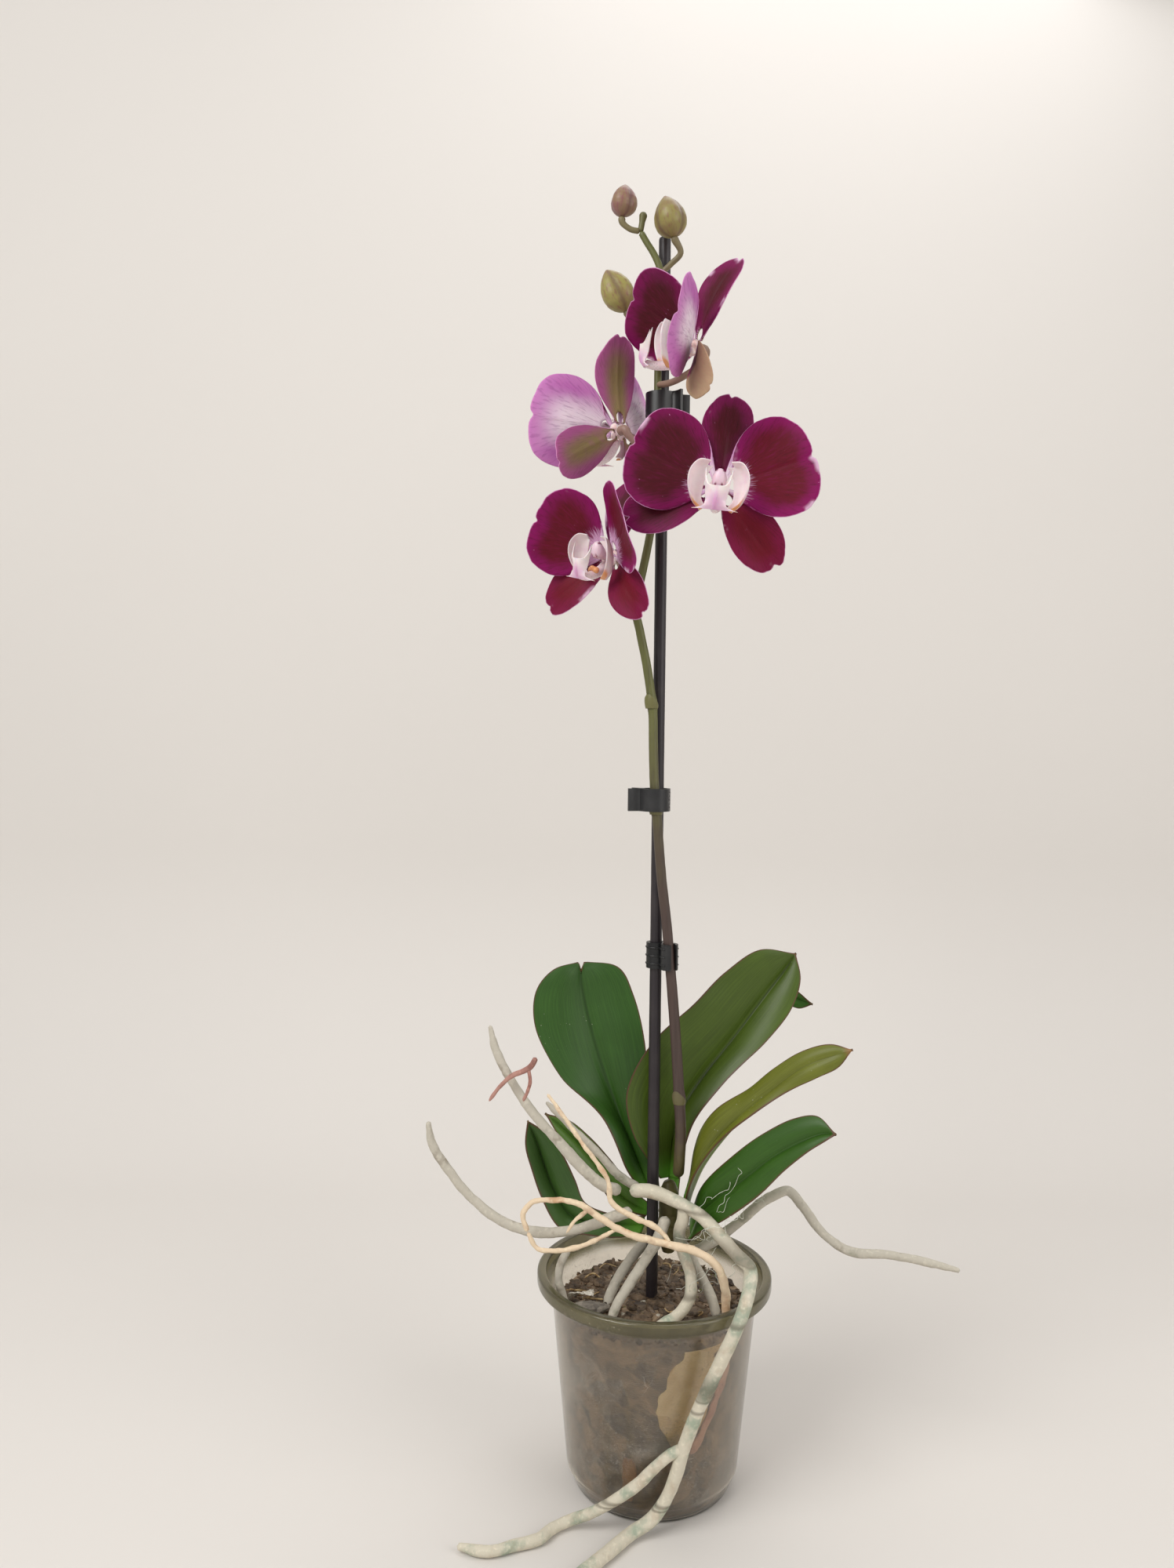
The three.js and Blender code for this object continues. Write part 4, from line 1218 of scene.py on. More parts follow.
def material_of(skin: TepalSkin) -> Material:
    """Make a tepal finish once and share it after that.

    Args:
        skin: The finish.

    Returns:
        Its material.
    """
    if skin.name not in MADE:
        MADE[skin.name] = skin.make()
    return MADE[skin.name]


# ---- Pot and medium ----


@dataclass
class Pot:
    """The clear orchid pot: a tapered wall, a stepped rim, a recessed foot and drain holes."""

    height: float = 108
    rim: float = 60
    wall_top: float = 52.3
    wall_bottom: float = 43.9
    foot: float = 40.5
    foot_height: float = 8.5
    wall: float = 1.1
    floor: float = 1.8
    drains: int = 8
    drain_ring: float = 26
    drain_radius: float = 4

    def profile(self) -> list[tuple[float, float]]:
        """List the wall's radius and height, round the outside and back inside.

        Returns:
            Radius and height pairs, in millimetres.
        """
        return [
            (0, 0), (self.foot - 3, 0), (self.foot - 2, 0.7), (self.foot - 0.6, 0.7), (self.foot, 1.6),
            (self.wall_bottom - 0.9, self.foot_height - 0.5), (self.wall_bottom, self.foot_height + 0.6),
            (self.wall_bottom + 0.15, self.foot_height + 2.2), (self.wall_top, self.height - 12),
            (self.wall_top + 1.4, self.height - 8), (self.rim - 1.2, self.height - 6.9),
            (self.rim, self.height - 5.8), (self.rim, self.height - 0.9), (self.rim - 0.9, self.height),
            (self.rim - 4.4, self.height), (self.rim - 6.2, self.height - 5),
            (self.wall_top - self.wall - 0.3, self.height - 12),
            (self.wall_bottom - self.wall - 0.4, self.foot_height + 1), (self.foot - 0.6, self.floor),
            (0, self.floor),
        ]

    def build(self) -> None:
        """Build and dress the pot."""
        wobble = lambda angle, z: 1 + 0.0012 * math.sin(3 * angle + 1) + 0.0008 * math.sin(7 * angle)
        pot = lathe("clear_pot", rounded(self.profile(), 0.7), 144, radius_at=wobble)
        cutters = []
        for k in range(self.drains):
            angle = 2 * math.pi * (k + 0.5) / self.drains
            x, y = self.drain_ring * math.cos(angle), self.drain_ring * math.sin(angle)
            hole = [(0, -2), (self.drain_radius, -2), (self.drain_radius, self.floor + 2),
                (0, self.floor + 2)]
            cutters.append(lathe(f"drain_{k}", hole, 24, (x, y)))
        tool = merge_pieces("drains", cutters)
        boolean = pot.modifiers.new("drains", "BOOLEAN")
        boolean.operation, boolean.object, boolean.solver = "DIFFERENCE", tool, "EXACT"
        bake_modifiers(pot)
        bpy.data.objects.remove(tool)
        dress(pot, ["pot"], material=PotPlastic().make())


@dataclass
class Medium:
    """Packed bark with loose pieces, perlite and moss strewn on top, seen through the wall too."""

    top: float = 92
    reach: float = 49.6
    foot: float = 38.6
    bark_density: float = 52000
    perlite_density: float = 5200
    moss_density: float = 30000
    crumb_density: float = 130000
    strands: int = 16
    wisps: int = 16
    low: float = 9.5
    low_reach: float = 42.0
    rise: float = 86.5
    dome: float = 1.2

    def core(self) -> None:
        """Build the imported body."""
        profile = [(0, 2.3), (self.foot, 2.3), (41, 9), (41.5, 13), (self.reach - 0.9, self.top - 3),
                   (self.reach - 3, self.top), (36, self.top + 0.3), (22, self.top + 1), (0, self.top + 1.4)]
        core = lathe("packed_bark", rounded(subdivided(profile, 3.0), 0.8), 128)
        lumpy(core, 9, 0.55, 3.0, 4)
        dress(core, ["bark_medium"],
              material=Bark("wet_bark", rgb(58, 46, 36), rgb(158, 134, 106), 110, 0.6, 0.1).make())

    def slab(self) -> None:
        """Build the large pale slab of bark that lies against the front of the wall."""
        heights = np.linspace(36, 89, 60)
        rows = [36, 44, 52, 60, 70, 80, 89]
        left = np.interp(heights, rows, [11, 5, 0.5, -1, 1, 5, 12])
        right = np.interp(heights, rows, [14, 18, 22, 25.5, 29, 31, 32])
        self.strip("pale_slab", heights, left, right,
            Bark("pale_slab_bark", rgb(206, 172, 122), rgb(240, 220, 176), 60, 0.6, cracks=0.25))
        self.strip("pink_root", heights, right + 1, right + 5,
            Bark("pink_root", rgb(196, 140, 124), rgb(220, 176, 158), 60, 0.6, cracks=0.2))
        low = np.linspace(12, 34, 24)
        self.strip("rust_chip", low, 0 * low - 16, 0 * low - 9 - 0.02 * (low - 23) ** 2,
            Bark("rust_chip", rgb(130, 86, 48), rgb(186, 140, 92), 120, 0.6))

    def strip(self, name: str, heights: Array, left: Array, right: Array, finish: Bark) -> None:
        """Build one curved piece that lies flat against the wall, between two edges.

        Args:
            name: The piece's name.
            heights: Its rows, in millimetres.
            left: Its left edge at each row.
            right: Its right edge at each row.
            finish: Its finish.
        """
        v = np.linspace(0, 1, 34)[None, :]
        x = left[:, None] * (1 - v) + right[:, None] * v
        x = x + np.array([[1.3 * noise.noise(Vector((h * 0.16, k * 4.0, 1.0))) for k in (0, 1)]
            for h in heights]) @ np.array([1 - v[0], v[0]])
        reach = self.inside(heights)[:, None] + 0.15 - 0.6 * (np.abs(2 * v - 1) ** 6)
        z = np.broadcast_to(heights[:, None], x.shape)
        ripple = np.array([[noise.fractal(Vector((a * 0.14, b * 0.05, 4)), 1, 2, 4) for a, b in zip(*row)]
            for row in zip(x, z)])
        reach = reach - 0.25 * np.abs(ripple)
        sheet = np.stack([x, -np.sqrt(np.maximum(reach**2 - x**2, 1)), z], axis=2)
        piece = closed_sheet(name, sheet, np.full(x.shape, 0.3), {"along": z / 100})
        dress(piece, material=finish.make())

    def inside(self, height: Array | float) -> Array | float:
        """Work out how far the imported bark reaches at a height."""
        return self.low_reach + (self.reach - self.low_reach - 0.2) * (height - self.low) / self.rise

    def ground(self, reach: float) -> Piece:
        """Build the sheet that loose pieces are strewn on.

        Args:
            reach: Its radius, in millimetres.

        Returns:
            The sheet.
        """
        rings, turns = 8, 40
        points = [(0.0, 0.0, self.top + self.dome)]
        angles = [2 * math.pi * k / turns for k in range(turns)]
        for r in range(1, rings + 1):
            out, height = reach * r / rings, self.top + self.dome - self.dome * r / rings
            points += [(out * math.cos(a), out * math.sin(a), height) for a in angles]
        faces = [(0, 1 + k, 1 + (k + 1) % turns) for k in range(turns)]
        for r in range(rings - 1):
            for k in range(turns):
                a, b = 1 + r * turns + k, 1 + r * turns + (k + 1) % turns
                faces.append((a, a + turns, b + turns, b))
        return new_object("ground", np.array(points), faces)

    def build(self, shop: Workshop) -> None:
        """Build and dress the medium and everything strewn on it.

        Args:
            shop: The shared node trees.
        """
        self.core()
        self.slab()
        strewn = [
            ("loose_bark", 46.0, self.bark_density, 5, (3, 2, 1.2), (11, 6, 4), 1.3, 2,
             Bark("loose_bark", rgb(44, 34, 26), rgb(122, 100, 76), 190, 0.7, 0.12).make()),
            ("fine_bark", 47.5, self.crumb_density, 17, (1.2, 0.8, 0.6), (3.6, 2, 1.6), 0.5, 1,
             Bark("fine_bark", rgb(50, 38, 28), rgb(112, 86, 60), 300, 0.8).make()),
            ("perlite", 45.0, self.perlite_density, 8, (1.4, 1.4, 1.2), (3.6, 3, 2.6), 0.6, 2,
             Speckled("perlite", rgb(206, 200, 186), rgb(160, 150, 132), 600).make()),
            ("moss_tufts", 46.0, self.moss_density, 12, (0.8, 0.8, 0.5), (2.6, 1.6, 1.2), 0.8, 1,
             Speckled("moss", rgb(70, 84, 34), rgb(128, 124, 62), 700).make()),
        ]
        for name, reach, density, seed, least, most, uneven, facets, paint in strewn:
            sheet = self.ground(reach)
            sheet.name = name
            smallest, largest = (tuple(v * MM for v in size) for size in (least, most))
            shop.scatter.apply(
                sheet, Density=density, Seed=seed, Smallest=smallest, Largest=largest,
                Tilt=(0.5, 0.5, 3.1), Uneven=2 * uneven * MM, Grain=260.0, Facets=facets, Material=paint,
            )
            tidy_mesh(sheet, smooth=False)
            dress(sheet, material=paint)
        self.fibres(shop)

    def fibres(self, shop: Workshop) -> None:
        """Strew pale fibres and dry strands over the medium.

        Args:
            shop: The shared node trees.
        """
        rng, strands = np.random.default_rng(4), []
        paint = Speckled("dry_fibre", rgb(196, 172, 128), rgb(138, 108, 70), 500).make()
        for k in range(self.strands):
            angle, reach = rng.uniform(0, 2 * math.pi), 44 * math.sqrt(rng.uniform(0.05, 1))
            start = np.array([reach * math.cos(angle), reach * math.sin(angle), self.top + 2.4])
            turn, length = rng.uniform(0, 2 * math.pi), rng.uniform(5, 14)
            way = np.array([math.cos(turn), math.sin(turn), 0.1])
            bend = np.array([-way[1], way[0], 0.4]) * rng.uniform(-3, 3)
            bend[2] = abs(bend[2])
            path = [start, start + way * length * 0.5 + bend, start + way * length]
            if np.hypot(*path[-1][:2]) > 46:
                continue
            line = even_path(path, 0.8)
            strands.append(shop.grow_tube(f"strand_{k}", line, np.full(len(line), rng.uniform(0.22, 0.5)),
                paint, 6))
        dress(merge_pieces("dry_fibres", strands), material=paint)
        wisps, paint = [], Speckled("white_wisp", rgb(226, 226, 216), rgb(190, 196, 180), 500).make()
        for k in range(self.wisps):
            start = np.array([rng.uniform(18, 40), rng.uniform(-30, -22), rng.uniform(112, 150)])
            steps = np.cumsum(rng.normal(0, 1.7, (9, 3)) + np.array([1.1, -0.5, 1.7]) * rng.choice([-1, 1]),
                axis=0)
            line = even_path([start, *(start + steps)], 0.7)
            wisps.append(shop.grow_tube(f"wisp_{k}", line, np.full(len(line), rng.uniform(0.08, 0.16)), paint,
                4))
        dress(merge_pieces("white_wisps", wisps), material=paint)


@dataclass
class TopDressing:
    """The larger things that lie on the medium: two bark flakes and a scrap of fleece."""

    slab: tuple[float, ...] = (-33, -20, 93.25, 22, 9, 6, 10)
    oval: tuple[float, ...] = (-12, -37, 93.25, 10, 6, 4, 20)

    def flake(self, name: str, sizes: tuple[float, ...], point: float, finish: Bark) -> None:
        """Build one flake of bark.

        Args:
            name: The node it stands for.
            sizes: Place, length, width, height and turn.
            point: How far one end is drawn to a point.
            finish: Its finish.
        """
        x, y, z, length, width, height, turn = sizes
        ball = bmesh.new()
        bmesh.ops.create_icosphere(ball, subdivisions=5, radius=0.5)
        angle = math.radians(turn)
        for vertex in ball.verts:
            px, py, pz = vertex.co
            squash = 1 - point * max(0.0, px + 0.1)
            boxy = 1.12 / max(1.0, (abs(2 * py) ** 4 + abs(2 * pz) ** 4) ** 0.25 * 1.12)
            px, py, pz = px * length, py * width * squash * boxy, pz * height * squash * boxy
            ridge = noise.noise(Vector((px * 0.12, py * 1.4, pz * 1.6))) * 0.42
            ridge += noise.noise(Vector((px, py, pz)) * 0.9) * 0.25
            scale = 1 + ridge / max(3.0, Vector((px, py, pz)).length)
            px, py, pz = px * scale, py * scale, pz * scale
            vertex.co = Vector((x + px * math.cos(angle) - py * math.sin(angle),
                                y + px * math.sin(angle) + py * math.cos(angle), z + height / 2 + pz)) * MM
        mesh = bpy.data.meshes.new(name + "_flake")
        ball.to_mesh(mesh)
        ball.free()
        dress(tidy_mesh(linked(name + "_flake", mesh)), [name], material=finish.make())

    def fleece(self) -> None:
        """Build the torn scrap of fleece as a thin crumpled sheet of mesh cloth."""
        u, v = np.meshgrid(np.linspace(0, 1, 46), np.linspace(-1, 1, 26), indexing="ij")
        sheet = np.stack([13 * u - 44, -7 - 4 * v - 3 * u, 95.8 + 7 * u * (1 - 0.5 * u)], axis=2)
        sheet += np.stack([0 * u, 2 * (1 - u) * v * 0.6, 5 * (1 - u) * v * 0.6], axis=2)
        for i in range(u.shape[0]):
            for j in range(u.shape[1]):
                p = Vector((u[i, j] * 3.2, v[i, j] * 1.7, 0.3))
                sheet[i, j, 2] += 0.9 * noise.noise(p * 1.6) + 0.3 * noise.noise(p * 5)
                sheet[i, j, 0] += 1.1 * noise.noise(Vector((v[i, j] * 4, 2 + u[i, j], 7))) * (u[i, j] > 0.7)
        cloth = closed_sheet("fleece_mesh", sheet, np.full(u.shape, 0.28), {"along": u})
        dress(cloth, ["fleece_scrap"],
              material=Speckled("fleece", rgb(228, 224, 214), rgb(166, 156, 138), 900, height=0.5).make())

    def build(self) -> None:
        """Build everything."""
        self.flake("bark_chip_slab", self.slab, 0.7,
            Bark("grey_flake", rgb(82, 76, 70), rgb(150, 142, 130), 210, 0.85))
        self.flake("bark_chip_oval", self.oval, 0.2,
            Bark("pale_flake", rgb(150, 132, 110), rgb(206, 192, 170), 260, 0.85))
        self.fleece()


# ---- Stake and clips ----


@dataclass
class Stake:
    """The dark plastic stake with a rounded top and a pointed foot."""

    x: float = -1
    y: float = 0
    radius: float = 3
    bottom: float = 14
    top: float = 630

    def build(self) -> None:
        """Build and dress the stake."""
        r = self.radius
        profile = [(0, self.bottom), (r * 0.4, self.bottom + 0.4), (r * 0.95, self.bottom + 9),
            (r, self.bottom + 12)]
        profile += [(r, z) for z in np.linspace(self.bottom + 20, self.top - 1.4, 60)]
        profile += [(r * 0.93, self.top - 0.5), (r * 0.72, self.top - 0.08), (0, self.top)]
        rib = lambda angle, z: 1 - 0.018 * max(0.0, math.cos(angle * 12)) - 0.01 * math.sin(z * 0.31)
        stake = lathe("plant_stake", profile, 72, (self.x, self.y), rib)
        finish = PlainPlastic("stake_plastic", rgb(38, 32, 36), rgb(92, 84, 80), 0.42)
        dress(stake, ["support_stake"], material=finish.make())


@dataclass
class Clips:
    """Three black clips: a moulded double ring and two spring claws with wire coils."""

    claws: tuple[tuple[str, tuple[float, float], float, float, str, Body], ...] = (
        ("clip_middle", (-1.8, -3.8), 344, -12, "front_jaw", Body.MIDDLE_JAW),
        ("clip_top", (-2.6, -3.7), 540, 156.6, "rear_jaw", Body.TOP_JAW),
    )
    rings: tuple[tuple[float, float, float, float], ...] = ((-1, 0, 4.9, 100), (5.4, -6.1, 4.45, -60))
    ridge_heights: tuple[float, float, float] = (266.4, 270.5, 274.6)
    ridge: float = 0.5
    hinge: float = -8
    height: float = 11.4
    knuckle: float = 1.9
    wire: float = 0.32
    coils: int = 4
    coil_radius: float = 1.52

    def softened(self, node: str, width: float) -> Piece:
        """Copy a moulded node and round its edges.

        Args:
            node: The frame node.
            width: The width of the rounding, in millimetres.

        Returns:
            The rounded copy.
        """
        piece = linked(node + "_moulded", bpy.data.objects[node].data.copy())
        sheet = bmesh.new()
        sheet.from_mesh(piece.data)
        bmesh.ops.remove_doubles(sheet, verts=sheet.verts, dist=1e-5)
        bmesh.ops.dissolve_limit(sheet, angle_limit=math.radians(2), verts=sheet.verts, edges=sheet.edges)
        bmesh.ops.recalc_face_normals(sheet, faces=sheet.faces)
        for face in sheet.faces:
            face.smooth = True
        for edge in sheet.edges:
            edge.smooth = len(edge.link_faces) == 2 and edge.calc_face_angle(0) < math.radians(35)
        sheet.to_mesh(piece.data)
        sheet.free()
        bevel = piece.modifiers.new("soft_edges", "BEVEL")
        bevel.width, bevel.segments, bevel.limit_method = width * MM, 2, "ANGLE"
        bevel.angle_limit, bevel.use_clamp_overlap = math.radians(35), True
        return bake_modifiers(piece)

    def spring(self, shop: Workshop, name: str, centre: tuple[float, float], low: float, turn: float) -> None:
        """Wind a claw's torsion spring round its pin.

        Args:
            shop: The shared node trees.
            name: The clip's name.
            centre: Where the clip stands.
            low: The height of its foot.
            turn: Its turn, in degrees.
        """
        inner = 2 * (self.knuckle + 0.35)
        start, end, radius = low + inner + 0.7, low + self.height - inner - 0.7, self.coil_radius
        steps = np.linspace(0, 1, 24 * self.coils)
        angle = 2 * np.pi * self.coils * steps
        path = np.column_stack([self.hinge + radius * np.cos(angle), radius * np.sin(angle),
            start + (end - start) * steps])
        spin = math.radians(turn)
        rotate = np.array([[math.cos(spin), -math.sin(spin), 0], [math.sin(spin), math.cos(spin), 0],
            [0, 0, 1]])
        path = path @ rotate.T + np.array([*centre, 0])
        paint = SpringSteel().make()
        coil = shop.grow_tube(name + "_coil", path, np.full(len(path), self.wire), paint, 10)
        dress(coil, [name + "_spring"], material=paint)

    def ridges(self, shop: Workshop, paint: Material) -> None:
        """Run three raised ridges round both rings of the lower clip.

        Args:
            shop: The shared node trees.
            paint: Their material.
        """
        ridges = []
        for x, y, reach, mouth in self.rings:
            angle = np.radians(np.linspace(mouth + 62, mouth + 298, 48))
            for z in self.ridge_heights:
                path = np.column_stack([x + reach * np.cos(angle), y + reach * np.sin(angle), np.full(48, z)])
                ridges.append(shop.grow_tube(f"ridge_{len(ridges)}", path, np.full(48, self.ridge), paint, 8))
        dress(merge_pieces("clip_lower_ridges", ridges), material=paint)

    def build(self, shop: Workshop) -> None:
        """Build and dress all three clips.

        Args:
            shop: The shared node trees.
        """
        black = PlainPlastic("clip_plastic", rgb(18, 19, 21), rgb(80, 80, 80), 0.33).make()
        dress(self.softened("clip_lower", 0.35), ["clip_lower"], material=black)
        self.ridges(shop, black)
        for name, centre, low, turn, moving, body in self.claws:
            for jaw in ("front_jaw", "rear_jaw"):
                node = f"{name}_{jaw}"
                rides = body if jaw == moving else Body.PLANT
                dress(self.softened(node, 0.22), [node], rides, black)
            self.spring(shop, name, centre, low, turn)


# ---- Leaves and crown ----


@dataclass
class Leaf:
    """A fleshy strap leaf between a left margin, a midrib and a right margin."""

    node: str
    left: Points
    mid: Points
    right: Points
    tip: Sequence[float]
    skin: LeafSkin
    swell: float = 1.4
    groove: float = 0.7
    base_thickness: float = 2.3
    thinning: float = 1.1
    notch: float = 0.0
    rows: int = 84
    columns: int = 33

    def surface(self) -> tuple[Array, dict[str, Array], Array]:
        """Work out the leaf's middle surface, its marks and its thickness.

        Returns:
            The surface, the marks by name and the thickness.
        """
        shares = np.linspace(0, 1, self.rows) ** 0.92
        sides = [curve_at([*side, self.tip], shares) for side in (self.left, self.mid, self.right)]
        v = np.sin(np.linspace(-1, 1, self.columns) * math.pi / 2)
        u = shares[:, None] + 0 * v[None, :]
        across = v[None, :] + 0 * u
        out = np.abs(across)
        margin = np.where(across[..., None] < 0, sides[0][:, None, :], sides[2][:, None, :])
        blend = out[..., None]
        rib = np.broadcast_to(sides[1][:, None, :], margin.shape)
        middle = rib * (1 - blend) + margin * blend
        normals = grid_normals(middle)
        width = np.linalg.norm(margin - rib, axis=2)
        hump = np.sin(np.pi * out) * self.swell * smoothstep(u, 0.0, 0.25) * smoothstep(u, 1.0, 0.82)
        groove = -self.groove * np.exp(-((across * width / 1.6) ** 2)) * smoothstep(u, 0.05, 0.3)
        groove = groove * smoothstep(u, 1.0, 0.9)
        lumps = np.array([[noise.noise(Vector((p[0], p[1], p[2])) * 0.05) for p in row] for row in middle])
        middle = middle + normals * (hump * np.minimum(width / 14, 1) + groove + 0.8 * lumps * out)[..., None]
        if self.notch:
            cut = np.exp(-((across * width) ** 2)) * smoothstep(u, 0.9, 1.0) * self.notch
            ahead = sides[1][-1] - sides[1][-8]
            middle = middle - cut[..., None] * ahead / np.linalg.norm(ahead)
        edge = (1 - out) * width
        edge = np.minimum(edge, np.linalg.norm(middle - np.asarray(self.tip), axis=2) * 0.9)
        thickness = (self.base_thickness - self.thinning * u) * (1.08 - 0.75 * out ** 3)
        return middle, {"along": u, "across": across, "edge": edge}, thickness

    def build(self) -> None:
        """Build and dress the leaf."""
        middle, marks, thickness = self.surface()
        leaf = closed_sheet(self.node + "_blade", middle, thickness, marks)
        dress(leaf, [self.node], material=self.skin.make())


@dataclass
class Crown:
    """The short stem that the leaves clasp."""

    x: float = 8
    y: float = 9
    radius: float = 5.6
    bottom: float = 112
    top: float = 150

    def build(self) -> None:
        """Build and dress the crown."""
        r, low, high = self.radius, self.bottom, self.top
        profile = [(0, low), (r * 0.55, low + 1), (r * 0.9, low + 7), (r, low + 16), (r * 0.9, high - 5),
            (r * 0.5, high), (0, high + 0.5)]
        rings = lambda angle, z: 1 - 0.05 * max(0.0, math.sin(z * 1.05)) ** 6 - 0.02 * math.sin(3 * angle + z)
        crown = lathe("crown_stem", rounded(subdivided(profile, 1.0), 0.5), 64, (self.x, self.y), rings)
        lumpy(crown, 6, 0.35, 2.0)
        for key in ("stalk", "bract"):
            crown.data.attributes.new(key, "FLOAT", "POINT")
        finish = StemSkin(high=rgb(110, 118, 64), low=rgb(104, 92, 56))
        dress(crown, ["crown"], material=finish.make())


# ---- Flowers ----


@dataclass(frozen=True)
class TepalForm:
    """The outline of a kind of tepal, as fractions of its half-width and length, base to apex."""

    length: float
    half_width: float
    arch: float
    right_edge: tuple[tuple[float, float], ...]
    ruffle: float
    forward: float


SEPAL = TepalForm(
    42, 12, 3,
    ((0.2, 0.0), (0.46, 0.14), (0.84, 0.34), (1.0, 0.56), (0.93, 0.76), (0.66, 0.91), (0.34, 0.985),
    (0.12, 1.0)),
    0.5, -2,
)
PETAL = TepalForm(
    42, 23.5, -2,
    ((0.08, 0.0), (0.2, 0.09), (0.56, 0.18), (0.84, 0.32), (0.98, 0.48), (1.0, 0.63), (0.93, 0.79),
    (0.74, 0.915),
     (0.42, 0.985), (0.1, 1.0)),
    1.3, 1.1,
)
TEPAL_START = 3.6


@dataclass
class Tepal:
    """One petal or sepal, grown along +Y in its own frame and then turned into its flower."""

    name: str
    form: TepalForm
    scale: float
    angle: float
    tilt: float
    twist: float
    seed: float
    notch: float = 0.035
    rows: int = 34
    columns: int = 81

    def outline(self) -> Array:
        """Trace the margin from the base's left corner round the apex to its right corner.

        Returns:
            One point per column, in millimetres.
        """
        right = self.form.right_edge
        points = [(-x, y, 0) for x, y in right]
        points += [(0, 1 - self.notch, 0), *((x, y, 0) for x, y in right[::-1])]
        edge = curve_at(points, np.linspace(0, 1, self.columns))[:, :2]
        edge *= np.array([self.form.half_width, self.form.length]) * self.scale
        theta = np.linspace(0, 1, self.columns)
        for k, share in enumerate(theta):
            wide, mid, fine = (noise.noise(Vector((share * pace, self.seed, row)))
                for pace, row in ((5, 0.2), (13, 4.2), (40, 9.0)))
            wave = 0.045 * (wide + 0.5 * mid) + 0.008 * fine
            edge[k] *= 1 + wave * min(1, 6 * share, 6 * (1 - share))
        return edge

    def build(self, frame_: Matrix, skin: Material, slot: str) -> None:
        """Build the tepal in its flower's frame and dress it.

        Args:
            frame_: The flower's frame, in millimetres.
            skin: Its finish.
            slot: Not used.
        """
        edge = self.outline()
        length, half = self.form.length * self.scale, self.form.half_width * self.scale
        heel = np.array([0, -0.06 * length])
        s = (np.linspace(0.12, 1, self.rows) ** 0.8)[:, None, None]
        flat = heel + s * (edge - heel)[None]
        flat[..., 1] = np.maximum(flat[..., 1], 0)
        x, y = flat[..., 0], flat[..., 1]
        u = y / length
        gap = np.min(np.linalg.norm(flat[:, :, None, :] - edge[None, None, 2:-2:1, :], axis=3), axis=2)
        out = s[..., 0]
        ray = np.broadcast_to(np.linspace(-1, 1, self.columns), x.shape)
        wave = np.sin(ray * 9 + self.seed * 5) * 0.6 + np.sin(ray * 17 + self.seed * 3) * 0.4
        z = self.form.arch * np.sin(np.pi * np.clip(u, 0, 1)) + 1.6 * (x / half) ** 2
        z = z + self.form.ruffle * wave * out**4 * np.minimum(1, np.abs(x) / half + 0.35)
        z = z - 0.28 * np.exp(-((x / 1.1) ** 2)) * smoothstep(u, 0.02, 0.2) * smoothstep(u, 0.95, 0.6)
        local = np.stack([x, y, z], axis=2)
        direction = math.radians(self.angle)
        start = (TEPAL_START * math.cos(direction), TEPAL_START * math.sin(direction), self.form.forward)
        turn = (
            Matrix.Translation(start)
            @ Matrix.Rotation(direction - math.pi / 2, 4, "Z")
            @ Matrix.Rotation(math.radians(self.tilt), 4, "X")
            @ Matrix.Rotation(math.radians(self.twist), 4, "Y")
        )
        whole = np.array(frame_ @ turn)
        middle = local @ whole[:3, :3].T + whole[:3, 3]
        thickness = np.maximum(1.0 - 0.55 * u, 0.4) * np.minimum(1, 0.35 + gap / 1.6)
        marks = {"edge": gap, "base": np.hypot(x, y), "ray": ray, "across": x / half, "along": u}
        piece = closed_sheet(self.name + "_blade", middle, thickness, marks)
        dress(piece, [self.name], material=skin)


